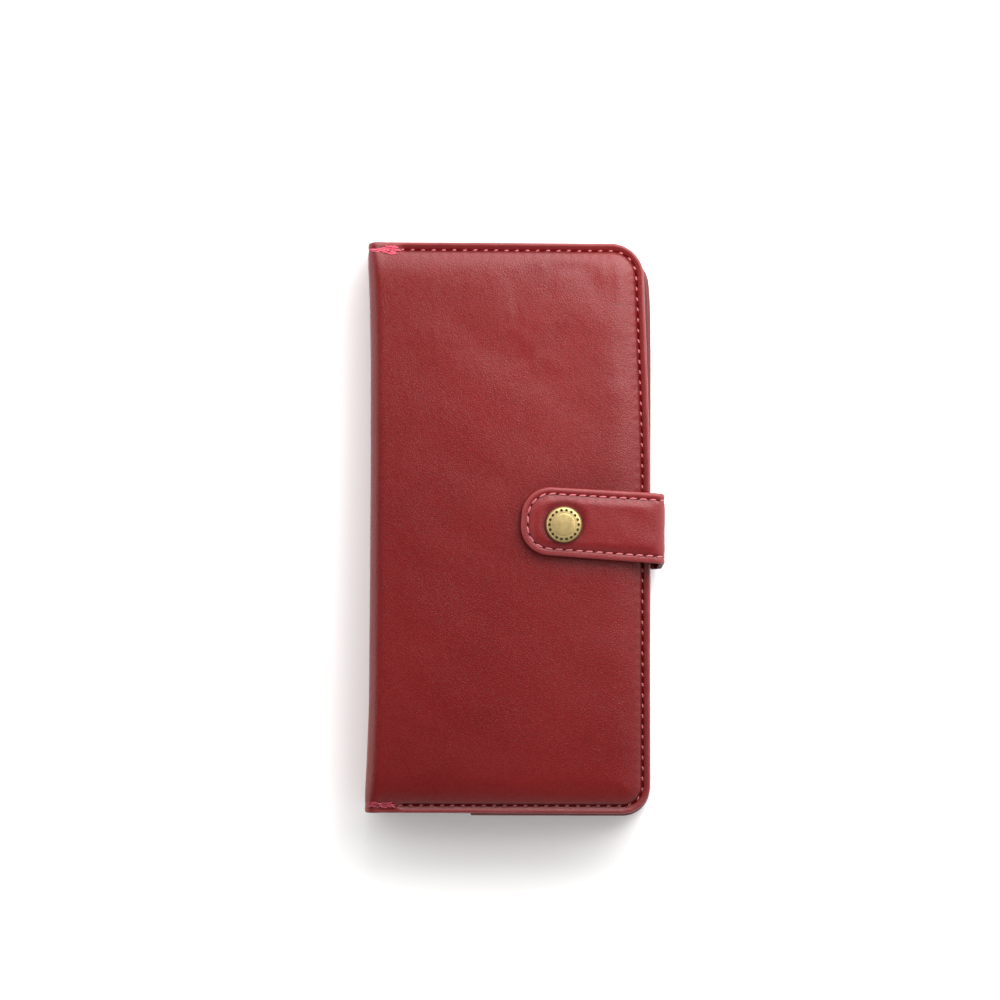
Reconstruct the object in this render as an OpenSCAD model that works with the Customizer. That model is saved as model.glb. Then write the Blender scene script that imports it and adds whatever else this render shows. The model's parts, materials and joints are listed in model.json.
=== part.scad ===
// Long wallet with a phone pocket: two padded covers, a folding spine and a snap strap.
// It lies closed on its back cover. The spine is at -X, the fore edge at +X, +Y is the top end
// and +Z is up. The origin is the middle of the back cover's outer face.

/* [Wallet] */
// Length of the covers, along Y
wallet_l = 190; // [150:1:230]
// Width from the spine's outer face to the fore edge, along X
wallet_w = 95; // [78:1:120]
// Radius of the two corners at the fore edge
corner_r = 9.4; // [6:0.1:16]

/* [Cover layers] */
// Outer leather thickness
leather_t = 1.2; // [0.8:0.1:2]
// Padding thickness under the outer leather
padding_t = 2.3; // [1.5:0.1:4]
// Stiff board thickness, which is also that of the leather edge turned over it
board_t = 1; // [0.6:0.1:2]
// Lining thickness
lining_t = 0.8; // [0.5:0.1:1.5]
// Width of the thin stitched border before the padding begins
border_w = 4; // [3:0.1:7]
// Distance over which the padding rises from the border to the flat crown
crown_run = 5; // [3:0.1:10]
// How far the lining stays back from the cover's edge
lining_margin = 0.8; // [0.4:0.1:2]

/* [Folds] */
// Height of each spine fold's axis above its cover's outer face
fold_h = 3; // [2.4:0.1:4.5]
// Clearance between pieces that fold past each other
fold_gap = 0.3; // [0.2:0.05:0.6]

/* [Pockets] */
// Distance from the spine and the fore edge to the phone pocket's outside
pocket_margin = 6.5; // [5:0.5:12]
// Distance from the bottom end to the phone pocket's outside
pocket_foot = 10; // [6:0.5:20]
// Distance from the top end to the phone pocket's mouth
pocket_head = 15; // [8:0.5:30]
// Inside depth of the phone pocket
phone_t = 8.4; // [7:0.1:12]
// Thickness of the phone pocket's leather
pocket_t = 0.9; // [0.6:0.1:1.5]
// Radius of the thumb notch in the phone pocket's mouth
notch_r = 12; // [6:0.5:18]
// Thickness of each slip pocket
slip_t = 0.6; // [0.4:0.1:1]
// Number of stepped card pockets
slip_n = 4; // [2:1:4]
// Step from one card pocket's mouth to the next
slip_step = 12; // [8:0.5:14]
// Distance from the spine side of the cover to the note pocket's mouth
slip_head = 10; // [6:0.5:20]
// Distance from the cover's other edges to the slip pockets
slip_margin = 5.5; // [4.5:0.5:10]
// Gap between the phone pocket and the slip pockets when closed
closing_gap = 0.5; // [0.3:0.1:2]

/* [Strap] */
// Strap width
strap_w = 23; // [16:0.5:30]
// Radius of the strap tip's corners
strap_tip_r = 9.8; // [4:0.1:10.5]
// Angle at which the strap lies across the cover
strap_tilt = 3.8; // [0:0.1:9]
// Strap leather thickness
strap_leather_t = 1.2; // [0.8:0.1:2]
// Strap filler thickness
strap_filler_t = 0.6; // [0.3:0.1:1.5]
// Strap lining thickness
strap_lining_t = 1; // [0.6:0.1:1.5]
// Height of the closed strap above the front cover's crown
strap_lift = 0.6; // [0.4:0.1:2]
// Gap between the fore edge and the strap's side
strap_clear = 1.6; // [0.8:0.1:4]
// Depth of the strap's root in the back cover's seam
strap_seam = 3.6; // [3:0.1:3.8]
// Clearance round the strap's root in its seam
seam_gap = 0.1; // [0.05:0.05:0.3]

/* [Snap] */
// Distance from the fore edge to the snap's axis
snap_from_fore = 29.1; // [22:0.1:40]
// Distance from the wallet's middle to the snap's axis, along Y
snap_y = 1.4; // [-10:0.1:10]
// Distance of the snap from the strap's middle line
snap_off = 0.8; // [0:0.1:2]
// Distance from the snap's axis to the strap's tip
snap_to_tip = 14.2; // [10:0.1:20]
// Cap diameter
cap_d = 12.5; // [10:0.1:16]
// Cap height
cap_h = 2.4; // [1.5:0.1:2.4]
// Height of the cap's upright rim
cap_rim_h = 0.6; // [0.4:0.1:1]
// Diameter of the cap's flat centre
cap_flat_d = 7.6; // [5:0.1:9]
// Cap shell thickness
cap_wall = 0.5; // [0.3:0.1:0.8]
// Diameter of the cap's post
cap_post_d = 3; // [2:0.1:4]
// Stud diameter
stud_d = 4; // [3:0.1:6]
// Stud neck diameter, under its bulb
stud_neck_d = 3.4; // [2.6:0.1:5.4]
// Diameter of the stud's base
stud_base_d = 10; // [8:0.1:12]
// Thickness of the stud's base
stud_base_t = 0.6; // [0.4:0.1:1]
// Diameter of the rivet post that holds the stud
rivet_d = 2; // [1.4:0.1:2.4]
// Diameter of the rivet's head
rivet_head_d = 8; // [6:0.1:10]
// Thickness of the rivet's head
rivet_head_t = 0.6; // [0.4:0.1:0.8]
// Diameter of the dimple that the snap presses into the front cover
dimple_d = 14; // [12:0.5:18]
// Padding left under the rivet's head, at the bottom of the dimple
rivet_bed = 0.3; // [0.1:0.05:0.5]
// Radial clearance between stud and socket
snap_fit = 0.15; // [0.1:0.05:0.3]
// Axial clearance inside the closed snap
snap_gap = 0.3; // [0.2:0.05:0.5]
// Socket cup diameter
socket_d = 7; // [6:0.1:9]
// Socket flange diameter
socket_flange_d = 10; // [8:0.1:12]
// Socket flange and roof thickness
socket_t = 0.5; // [0.3:0.05:0.6]
// Ring spring wire diameter
spring_wire_d = 0.5; // [0.3:0.05:0.6]
// Radial clearance of rivet and cap posts in leather
post_gap = 0.05; // [0.02:0.01:0.2]

/* [Stitching] */
// Distance of the border stitching from the cover's edge
stitch_inset = 2.6; // [2:0.1:3]
// Pitch of the border stitching
stitch_pitch = 3.45; // [2.5:0.05:5]
// Distance of the strap stitching from the strap's edge
strap_stitch_inset = 2.4; // [1.8:0.1:3]
// Pitch of the strap stitching
strap_stitch_pitch = 3.3; // [2.5:0.05:5]
// Part of the pitch that a stitch covers
stitch_share = 0.74; // [0.5:0.02:0.9]
// Thread width
thread_w = 0.7; // [0.4:0.05:1]
// Height of a stitch above the leather
thread_h = 0.3; // [0.2:0.05:0.4]
// Length of each bar tack
tack_l = 9; // [5:0.5:14]
// Number of threads in each bar tack
tack_n = 3; // [2:1:4]

/* [Hidden] */
$fn = 64;
hull_fn = 32;    // facets of the circles inside hull()
eps = 0.01;      // thickness of a hull's slices
over = 1;        // how far a cut runs past the face it opens

// Heights through a cover, from its outer face inwards
cover_t = leather_t + padding_t + board_t + lining_t;
board_z = leather_t + padding_t;
lining_z = board_z + board_t;

// Heights through the closed wallet
slips_t = (slip_n + 1) * slip_t;
pocket_h = phone_t + pocket_t;
closed_t = 2 * cover_t + pocket_h + closing_gap + slips_t;

// Spine and its folds
spine_t = leather_t + lining_t;
fold_x = -wallet_w / 2 + spine_t / 2;
fold_z = [fold_h, closed_t - fold_h];
cover_x = fold_x + spine_t / 2 + fold_gap;

// Strap, in its own frame: it runs along X on its middle line, with the snap's axis at X = 0
strap_side_t = strap_leather_t + strap_lining_t;
strap_tab_t = strap_side_t + strap_filler_t;
strap_z = closed_t + strap_lift;
filler_z = strap_z + strap_lining_t;
strap_top = strap_z + strap_tab_t;
strap_bend_x = (snap_from_fore + strap_clear + strap_w / 2 * sin(strap_tilt)) / cos(strap_tilt)
    + strap_side_t / 2;
root_z = lining_z - strap_leather_t;
strap_bend_z = [root_z + strap_leather_t / 2, strap_z + strap_tab_t / 2];
strap_bead_r = strap_side_t / 2;
strap_end_x = strap_bend_x - strap_bead_r - fold_gap;
filler_inset = strap_stitch_inset + thread_w;

// Snap, from the front cover's dimple upwards
dimple_h = padding_t - rivet_head_t - rivet_bed;
dimple_z = closed_t - dimple_h;
stud_base_top = dimple_z + stud_base_t;
socket_z = stud_base_top + snap_gap;
socket_top = strap_z + strap_lining_t;
socket_roof_z = socket_top - socket_t;
stud_top = socket_roof_z - snap_gap;
rivet_top = stud_top - snap_gap;
spring_z = (socket_z + stud_top) / 2;
spring_r = stud_d / 2 + snap_fit + spring_wire_d / 2;

leather_red = [0.52, 0.09, 0.12];
pocket_red = [0.42, 0.07, 0.10];
thread_red = [0.70, 0.16, 0.22];
tack_pink = [0.86, 0.24, 0.36];
lining_brown = [0.16, 0.10, 0.09];
foam_grey = [0.75, 0.74, 0.72];
board_grey = [0.45, 0.42, 0.38];
brass = [0.62, 0.50, 0.30];

// ---- outlines ----

// Cover outline, set in from the three free edges and from the spine side
module cover_outline(inset = 0, spine_inset = 0) {
    x = wallet_w / 2 - inset;
    y = wallet_l / 2 - inset;
    r = max(corner_r - inset, 1);
    x_low = cover_x + spine_inset;
    translate([x_low, -y]) square([x - r - x_low, 2 * y]);
    translate([x_low, r - y]) square([x - x_low, 2 * (y - r)]);
    for (side = [-1, 1]) translate([x - r, side * (y - r)]) circle(r);
}

// Strap outline in the strap's frame, with its rounded tip at -X
module strap_outline(inset = 0) {
    x = inset - snap_to_tip;
    y = strap_w / 2 - inset;
    r = max(strap_tip_r - inset, 1);
    translate([x + r, -y]) square([strap_end_x - x - r, 2 * y]);
    translate([x, r - y]) square([strap_end_x - x, 2 * (y - r)]);
    for (side = [-1, 1]) translate([x + r, side * (y - r)]) circle(r);
}

// A slice of the padded crown
module crown_slice(z, inset, spine_inset) {
    translate([0, 0, z]) linear_extrude(eps) cover_outline(inset, spine_inset, $fn = hull_fn);
}

// The padded crown of a cover lying on its outer face: a skin inside it gives what it holds
module crown(skin = 0) {
    shoulder_h = 0.3 * padding_t;
    shoulder_run = 0.35 * crown_run;
    hull() {
        crown_slice(skin, border_w + crown_run + skin, crown_run + skin);
        crown_slice(skin + shoulder_h, border_w + shoulder_run + skin, shoulder_run + skin);
        crown_slice(skin + padding_t - eps, border_w + skin, skin);
    }
}

// ---- cover layers, lying on the outer face ----

module cover_leather() {
    difference() {
        union() {
            translate([0, 0, padding_t]) linear_extrude(leather_t + board_t) cover_outline();
            crown();
        }
        crown(leather_t);
        translate([0, 0, board_z - eps])
            linear_extrude(board_t + over) cover_outline(border_w + leather_t, leather_t);
    }
}

module cover_padding() {
    crown(leather_t);
}

module cover_board() {
    translate([0, 0, board_z])
        linear_extrude(board_t) cover_outline(border_w + leather_t, leather_t);
}

module cover_lining() {
    translate([0, 0, lining_z]) linear_extrude(lining_t) cover_outline(lining_margin);
}

// The front cover lies on its outer face too, then it is mirrored to the top
module as_front() {
    translate([0, 0, closed_t]) mirror([0, 0, 1]) children();
}

// ---- stitches ----

// Point and heading [x, y, angle] at distance s along a U: a run along +X at y = half, round
// two corners of radius r, and back at y = -half
function u_point(s, run, half, r) =
    let (
        arc = PI / 2 * r,
        down = 2 * (half - r),
        past_run = s - run,
        past_arc = past_run - arc,
        past_down = past_arc - down,
        turn_1 = past_run / r * 180 / PI,
        turn_2 = past_down / r * 180 / PI
    )
    past_run < 0 ? [s, half, 0]
    : past_arc < 0 ? [run + r * sin(turn_1), half - r + r * cos(turn_1), -turn_1]
    : past_down < 0 ? [run + r, half - r - past_arc, -90]
    : past_down < arc ? [run + r * cos(turn_2), r - half - r * sin(turn_2), -90 - turn_2]
    : [run - (past_down - arc), -half, 180];

module stitch(length) {
    translate([-length / 2, -thread_w / 2, 0]) cube([length, thread_w, thread_h]);
}

// Stitches at a pitch along the U
module u_stitches(run, half, r, pitch) {
    total = 2 * run + PI * r + 2 * (half - r);
    count = floor(total / pitch);
    for (i = [0:count - 1]) {
        p = u_point((i + 0.5) * total / count, run, half, r);
        translate([p[0], p[1], 0]) rotate(p[2]) stitch(pitch * stitch_share);
    }
}

// Border stitches of a cover lying on its outer face
module cover_stitches() {
    r = corner_r - stitch_inset;
    translate([cover_x, 0, padding_t]) mirror([0, 0, 1])
        u_stitches(wallet_w / 2 - stitch_inset - r - cover_x, wallet_l / 2 - stitch_inset, r, stitch_pitch);
}

// ---- back cover ----

module back_outer_leather() {
    color(leather_red) difference() {
        cover_leather();
        in_strap_frame() root_tongue(seam_gap);
    }
}

module back_padding() { color(foam_grey) cover_padding(); }
module back_board() { color(board_grey) cover_board(); }
module back_lining() { color(lining_brown) cover_lining(); }
module back_stitching() { color(thread_red) cover_stitches(); }

// Outside of the phone pocket, seen from above
module pocket_outline(inset = 0) {
    x_low = cover_x + pocket_margin + inset;
    x_high = wallet_w / 2 - pocket_margin - inset;
    y_low = -wallet_l / 2 + pocket_foot + inset;
    y_high = wallet_l / 2 - pocket_head;
    translate([x_low, y_low]) square([x_high - x_low, y_high - y_low]);
}

module phone_pocket_gusset() {
    color(pocket_red) translate([0, 0, cover_t]) linear_extrude(phone_t) difference() {
        pocket_outline();
        translate([0, over]) pocket_outline(pocket_t);
        pocket_outline(pocket_t);
    }
}

module phone_pocket_panel() {
    notch_x = (cover_x + wallet_w / 2) / 2;
    color(pocket_red) translate([0, 0, cover_t + phone_t]) linear_extrude(pocket_t) difference() {
        pocket_outline();
        translate([notch_x, wallet_l / 2 - pocket_head]) circle(notch_r);
    }
}

// ---- spine ----

module spine_bar(x, width, z_margin) {
    z_low = fold_z[0] + z_margin;
    translate([x, -wallet_l / 2, z_low]) cube([width, wallet_l, fold_z[1] - z_margin - z_low]);
}

module spine_leather() {
    color(leather_red) {
        spine_bar(-wallet_w / 2, leather_t, 0);
        for (z = fold_z) translate([fold_x, wallet_l / 2, z]) rotate([90, 0, 0])
            cylinder(d = spine_t, h = wallet_l);
    }
}

module spine_lining() {
    color(lining_brown) spine_bar(-wallet_w / 2 + leather_t, lining_t, spine_t / 2 + fold_gap);
}

// ---- front cover ----

module in_snap_axis() {
    translate([wallet_w / 2 - snap_from_fore, snap_y, 0]) children();
}

module front_outer_leather() {
    color(leather_red) difference() {
        union() {
            as_front() cover_leather();
            in_snap_axis() translate([0, 0, dimple_z - leather_t])
                cylinder(d = dimple_d + 2 * leather_t, h = dimple_h + leather_t / 2);
        }
        in_snap_axis() translate([0, 0, dimple_z]) cylinder(d = dimple_d, h = dimple_h + over);
        in_snap_axis() cylinder(r = rivet_d / 2 + post_gap, h = closed_t);
    }
}

module front_padding() {
    color(foam_grey) difference() {
        as_front() cover_padding();
        in_snap_axis() translate([0, 0, dimple_z - leather_t])
            cylinder(d = dimple_d + 2 * leather_t, h = closed_t);
        in_snap_axis() translate([0, 0, dimple_z - leather_t - rivet_head_t])
            cylinder(r = rivet_head_d / 2 + post_gap, h = closed_t);
    }
}

module front_board() { color(board_grey) as_front() cover_board(); }
module front_lining() { color(lining_brown) as_front() cover_lining(); }

// The front border stitches, without those that the bar tacks cover
module front_stitching() {
    color(thread_red) as_front() difference() {
        cover_stitches();
        for (side = [-1, 1]) tack_place(side) translate([-over, -thread_w * tack_n, -over])
            cube([tack_l + over, 2 * thread_w * tack_n, 2 * over]);
    }
}

// The spine end of the border stitching at the top or bottom end, on the cover's outer face
module tack_place(side) {
    translate([cover_x, side * (wallet_l / 2 - stitch_inset), padding_t]) children();
}

module front_bar_tacks() {
    spacing = 1.3 * thread_w;
    first_y = -(tack_n - 1) / 2 * spacing - thread_w / 2;
    color(tack_pink) as_front() for (side = [-1, 1], i = [0:tack_n - 1])
        tack_place(side) translate([0, first_y + i * spacing, -thread_h])
            cube([tack_l - i, thread_w, thread_h]);
}

// A slip pocket under the front lining: level 0 is the note pocket, then the card pockets
module slip_pocket(level) {
    x_low = cover_x + slip_head + level * slip_step;
    x_high = wallet_w / 2 - slip_margin;
    y = wallet_l / 2 - slip_margin;
    translate([x_low, -y, closed_t - cover_t - (level + 1) * slip_t]) cube([x_high - x_low, 2 * y, slip_t]);
}

module note_pocket() { color(pocket_red) slip_pocket(0); }
module card_pocket_1() { color(leather_red) slip_pocket(1); }
module card_pocket_2() { color(pocket_red) if (slip_n >= 2) slip_pocket(2); }
module card_pocket_3() { color(leather_red) if (slip_n >= 3) slip_pocket(3); }
module card_pocket_4() { color(pocket_red) if (slip_n >= 4) slip_pocket(4); }

// ---- snap ----

module snap_stud() {
    bulb_z = stud_top - 0.55 * (stud_top - stud_base_top);
    chamfer = 0.3;
    color(brass) in_snap_axis() difference() {
        union() {
            translate([0, 0, dimple_z]) cylinder(d = stud_base_d, h = stud_base_t);
            translate([0, 0, stud_base_top]) cylinder(d = stud_neck_d, h = stud_top - stud_base_top);
            translate([0, 0, bulb_z]) cylinder(d = stud_d, h = stud_top - chamfer - bulb_z);
            translate([0, 0, stud_top - chamfer])
                cylinder(d1 = stud_d, d2 = stud_d - 2 * chamfer, h = chamfer);
        }
        cylinder(d = rivet_d, h = rivet_top);
    }
}

module snap_rivet() {
    head_z = dimple_z - leather_t - rivet_head_t;
    color(brass) in_snap_axis() {
        translate([0, 0, head_z]) cylinder(d = rivet_head_d, h = rivet_head_t);
        translate([0, 0, head_z]) cylinder(d = rivet_d, h = rivet_top - head_z);
    }
}

module snap_socket() {
    color(brass) in_snap_axis() difference() {
        union() {
            translate([0, 0, socket_z]) cylinder(d = socket_d, h = socket_top - socket_z);
            translate([0, 0, strap_z - socket_t]) cylinder(d = socket_flange_d, h = socket_t);
        }
        translate([0, 0, socket_z - over])
            cylinder(r = stud_d / 2 + snap_fit, h = socket_roof_z - socket_z + over);
        translate([0, 0, spring_z - spring_wire_d / 2 - post_gap])
            cylinder(r = spring_r + spring_wire_d / 2 + post_gap, h = spring_wire_d + 2 * post_gap);
        cylinder(d = cap_post_d, h = strap_top);
    }
}

module snap_spring() {
    opening = 50;
    color(brass) in_snap_axis() translate([0, 0, spring_z]) rotate(opening / 2)
        rotate_extrude(angle = 360 - opening)
            translate([spring_r + post_gap / 2, 0]) circle(d = spring_wire_d);
}

// Half section of the cap's dome: an upright rim, a curved shoulder and a flat centre
function cap_profile(skin) =
    let (
        rim = cap_d / 2 - skin,
        rim_h = cap_rim_h - skin / 2,
        flat = cap_flat_d / 2,
        top = cap_h - skin
    )
    concat(
        [[0, 0], [rim, 0], [rim, rim_h]],
        [for (a = [15:15:90]) [flat + (rim - flat) * cos(a), rim_h + (top - rim_h) * sin(a)]],
        [[0, top]]
    );

module snap_cap() {
    color(brass) in_snap_axis() {
        translate([0, 0, strap_top]) difference() {
            rotate_extrude() polygon(cap_profile(0));
            translate([0, 0, -eps]) rotate_extrude() polygon(cap_profile(cap_wall));
        }
        translate([0, 0, socket_roof_z])
            cylinder(d = cap_post_d, h = strap_top + cap_h - cap_wall / 2 - socket_roof_z);
    }
}

// ---- strap ----

module in_strap_frame() {
    in_snap_axis() rotate(-strap_tilt) translate([0, snap_off, 0]) children();
}

// The part of the strap that is sewn into the back cover's seam and runs out to the lower bend
module root_tongue(gap = 0) {
    x_low = snap_from_fore / cos(strap_tilt) - strap_seam - gap;
    translate([x_low, -strap_w / 2 - gap, root_z - gap])
        cube([strap_end_x - x_low, strap_w + 2 * gap, strap_leather_t + 2 * gap]);
}

module strap_root() {
    color(leather_red) in_strap_frame() root_tongue();
}

module strap_side_leather() {
    color(leather_red) in_strap_frame() {
        translate([strap_bend_x + strap_bead_r - strap_leather_t, -strap_w / 2, strap_bend_z[0]])
            cube([strap_leather_t, strap_w, strap_bend_z[1] - strap_bend_z[0]]);
        for (z = strap_bend_z) translate([strap_bend_x, strap_w / 2, z]) rotate([90, 0, 0])
            cylinder(r = strap_bead_r, h = strap_w);
    }
}

module strap_side_lining() {
    z_low = strap_bend_z[0] + strap_bead_r + fold_gap;
    z_high = strap_bend_z[1] - strap_bead_r - fold_gap;
    color(lining_brown) in_strap_frame()
        translate([strap_bend_x - strap_bead_r, -strap_w / 2, z_low])
            cube([strap_lining_t, strap_w, z_high - z_low]);
}

module strap_side_stitching() {
    height = strap_bend_z[1] - strap_bend_z[0] - 2 * strap_bead_r;
    count = floor(height / strap_stitch_pitch);
    color(thread_red) in_strap_frame()
        for (side = [-1, 1], i = [0:count - 1])
            translate([strap_bend_x + strap_bead_r, side * (strap_w / 2 - strap_stitch_inset),
                strap_bend_z[0] + strap_bead_r + (i + 0.5) * height / count])
                rotate([0, 90, 0]) stitch(strap_stitch_pitch * stitch_share);
}

module strap_tab_leather() {
    color(leather_red) difference() {
        in_strap_frame() translate([0, 0, filler_z])
            linear_extrude(strap_filler_t + strap_leather_t) strap_outline();
        in_strap_frame() translate([0, 0, filler_z - over])
            linear_extrude(strap_filler_t + over) strap_outline(filler_inset);
        in_snap_axis() cylinder(r = cap_post_d / 2 + post_gap, h = 2 * strap_top);
    }
}

module strap_tab_filler() {
    color(foam_grey) difference() {
        in_strap_frame() translate([0, 0, filler_z])
            linear_extrude(strap_filler_t) strap_outline(filler_inset);
        in_snap_axis() cylinder(r = cap_post_d / 2 + post_gap, h = 2 * strap_top);
    }
}

module strap_tab_lining() {
    color(lining_brown) difference() {
        in_strap_frame() translate([0, 0, strap_z]) linear_extrude(strap_lining_t) strap_outline();
        in_snap_axis() cylinder(r = socket_d / 2 + post_gap, h = 2 * strap_top);
    }
}

module strap_tab_stitching() {
    r = strap_tip_r - strap_stitch_inset;
    run = strap_end_x + snap_to_tip - strap_stitch_inset - r;
    color(thread_red) in_strap_frame() translate([strap_end_x, 0, strap_top]) rotate(180)
        u_stitches(run, strap_w / 2 - strap_stitch_inset, r, strap_stitch_pitch);
}

back_outer_leather();
back_padding();
back_board();
back_lining();
back_stitching();
phone_pocket_gusset();
phone_pocket_panel();
strap_root();
spine_leather();
spine_lining();
front_outer_leather();
front_padding();
front_board();
front_lining();
front_stitching();
front_bar_tacks();
note_pocket();
card_pocket_1();
card_pocket_2();
card_pocket_3();
card_pocket_4();
snap_stud();
snap_rivet();
strap_side_leather();
strap_side_lining();
strap_side_stitching();
strap_tab_leather();
strap_tab_filler();
strap_tab_lining();
strap_tab_stitching();
snap_cap();
snap_socket();
snap_spring();
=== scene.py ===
"""The looks of a long padded phone wallet: hide, stitching, strap, snap and inside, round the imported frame.

Lengths in the classes are millimetres, in the frame's own axes: the spine is at -X, the fore edge at +X,
+Y is the top end and +Z is up. Meshes are made in metres.
"""
import json
import logging
import math
import sys
from dataclasses import dataclass
from enum import Enum
from typing import Any, Callable, Optional, Sequence

import bmesh
import bpy
import numpy as np
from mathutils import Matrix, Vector


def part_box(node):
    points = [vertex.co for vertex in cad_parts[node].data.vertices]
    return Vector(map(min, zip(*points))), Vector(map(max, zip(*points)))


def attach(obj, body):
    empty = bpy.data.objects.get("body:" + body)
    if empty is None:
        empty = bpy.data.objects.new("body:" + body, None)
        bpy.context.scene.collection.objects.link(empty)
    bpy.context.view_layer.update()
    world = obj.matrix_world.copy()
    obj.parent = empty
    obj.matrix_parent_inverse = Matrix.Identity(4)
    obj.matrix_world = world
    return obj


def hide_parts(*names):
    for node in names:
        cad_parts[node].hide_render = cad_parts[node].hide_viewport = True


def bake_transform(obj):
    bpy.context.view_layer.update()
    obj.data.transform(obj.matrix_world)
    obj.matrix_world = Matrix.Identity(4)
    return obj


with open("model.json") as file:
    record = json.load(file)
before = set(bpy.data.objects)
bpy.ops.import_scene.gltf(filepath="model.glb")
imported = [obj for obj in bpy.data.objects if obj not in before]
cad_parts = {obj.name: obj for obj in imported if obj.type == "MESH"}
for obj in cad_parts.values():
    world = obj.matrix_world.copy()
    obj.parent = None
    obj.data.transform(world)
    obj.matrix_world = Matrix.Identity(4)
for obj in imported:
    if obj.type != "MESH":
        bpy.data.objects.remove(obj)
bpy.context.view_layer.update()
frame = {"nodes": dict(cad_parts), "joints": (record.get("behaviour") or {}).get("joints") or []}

MM = 0.001
Array = np.ndarray
Bend = Callable[[Array, Array, Array], Array]
log = logging.getLogger("wallet")


# ---------------------------------------------------------------- frame

def box_mm(node: str) -> tuple[Array, Array]:
    """Lowest and highest corner of a CAD node.

    Args:
        node: The node's name.

    Returns:
        The two corners in millimetres.
    """
    low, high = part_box(node)
    return np.array(low) / MM, np.array(high) / MM


def joint(name: str) -> dict[str, Any]:
    """The frame's joint of that name."""
    return next(j for j in frame["joints"] if j["name"] == name)


def metres(x: float, y: float, z: float) -> tuple[float, float, float]:
    """A place in metres from millimetres."""
    return x * MM, y * MM, z * MM


def smooth(value: Array | float) -> Array:
    """Smoothstep of a value from 0 to 1, held outside it."""
    share = np.clip(value, 0.0, 1.0)
    return share * share * (3.0 - 2.0 * share)


def mixed(low: Array | float, high: Array | float, share: Array | float) -> Array:
    """Straight mix of two values."""
    return low + (high - low) * share


def ripple(x: Array, y: Array, seed: int, wavelength: float, waves: int = 7) -> Array:
    """Soft uneven waves over a surface, about -1 to 1.

    Args:
        x: First coordinates.
        y: Second coordinates.
        seed: Seed of the waves' directions and phases.
        wavelength: Middle wavelength, in the coordinates' unit.
        waves: Number of sine waves added up.

    Returns:
        The height at each point.
    """
    rng = np.random.default_rng(seed)
    total = np.zeros(np.broadcast(x, y).shape)
    for _ in range(waves):
        angle, phase = rng.uniform(0, 2 * math.pi, 2)
        length = wavelength * rng.uniform(0.6, 1.6)
        total += np.sin((x * math.cos(angle) + y * math.sin(angle)) * 2 * math.pi / length + phase)
    return total / math.sqrt(waves)


# ---------------------------------------------------------------- meshes

def spaced(low: float, high: float, step: float, near_low: Sequence[float] = (0.0,),
           near_high: Sequence[float] = (0.0,)) -> Array:
    """Positions of a grid's lines: set distances from each end, and even steps between.

    Args:
        low: First position.
        high: Last position.
        step: Step of the even lines.
        near_low: Distances from the low end that get a line.
        near_high: Distances from the high end that get a line.

    Returns:
        The positions in rising order.
    """
    start, stop = low + max(near_low), high - max(near_high)
    even = np.linspace(start, stop, max(2, round((stop - start) / step) + 1))
    lines = np.concatenate([low + np.array(near_low), even, high - np.array(near_high)])
    return np.unique(lines.round(5))


@dataclass(frozen=True)
class Outline:
    """A rectangle with rounded corners, and how a grid of lines fills it.

    radii belong to the corners (low x, low y), (low x, high y), (high x, low y) and (high x, high y).
    free says which edges count as edges, in the order low x, high x, low y, high y.
    """

    x: tuple[float, float]
    y: tuple[float, float]
    radii: tuple[float, float, float, float] = (0.0, 0.0, 0.0, 0.0)
    free: tuple[bool, bool, bool, bool] = (True, True, True, True)
    reach: float = 14.0

    def _corners(self) -> list[tuple[int, int, float]]:
        """Each corner as (x end, y end, radius)."""
        return [(0, 0, self.radii[0]), (0, 1, self.radii[1]), (1, 0, self.radii[2]), (1, 1, self.radii[3])]

    def rounded(self, x: Array, y: Array) -> tuple[Array, Array]:
        """Moves a plain grid's points so that its outer lines follow the rounded corners."""
        x, y = x.copy(), y.copy()
        half_x, half_y = (self.x[1] - self.x[0]) / 2, (self.y[1] - self.y[0]) / 2
        for end_x, end_y, radius in self._corners():
            if radius <= 0:
                continue
            from_x, from_y = np.abs(x - self.x[end_x]), np.abs(y - self.y[end_y])
            inset = np.minimum(from_x, from_y)
            along = np.maximum(from_x, from_y) - inset
            on_x = from_x <= from_y
            reach = np.minimum(self.reach, np.where(on_x, half_y, half_x) - inset)
            bend = np.maximum(radius - inset, 0.0)
            near = (along < reach) & (inset < radius)
            reach = np.maximum(reach, 1e-6)
            arc = bend * math.pi / 4
            path = along / reach * (arc + reach - bend)
            angle = np.where(path < arc, math.pi / 4 - path / np.maximum(bend, 1e-9), 0.0)
            low_side = inset + bend - bend * np.cos(angle)
            high_side = np.where(path < arc, inset + bend - bend * np.sin(angle), inset + bend + path - arc)
            new_x = np.where(on_x, low_side, high_side)
            new_y = np.where(on_x, high_side, low_side)
            x = np.where(near, self.x[end_x] + (new_x if end_x == 0 else -new_x), x)
            y = np.where(near, self.y[end_y] + (new_y if end_y == 0 else -new_y), y)
        return x, y

    def inset(self, x: Array, y: Array) -> Array:
        """How far inside the free edges each point lies."""
        sides = [x - self.x[0], self.x[1] - x, y - self.y[0], self.y[1] - y]
        result = np.full(np.broadcast(x, y).shape, 1e3)
        for side, free in zip(sides, self.free):
            if free:
                result = np.minimum(result, side)
        for end_x, end_y, radius in self._corners():
            if radius <= 0 or not (self.free[end_x] and self.free[2 + end_y]):
                continue
            from_x, from_y = sides[end_x], sides[2 + end_y]
            near = (from_x < radius) & (from_y < radius)
            result = np.where(near, radius - np.hypot(radius - from_x, radius - from_y), result)
        return result

    def grid(self, x_lines: Array, y_lines: Array) -> tuple[Array, Array]:
        """The rounded grid of the given lines."""
        return self.rounded(*np.meshgrid(x_lines, y_lines, indexing="ij"))


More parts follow.
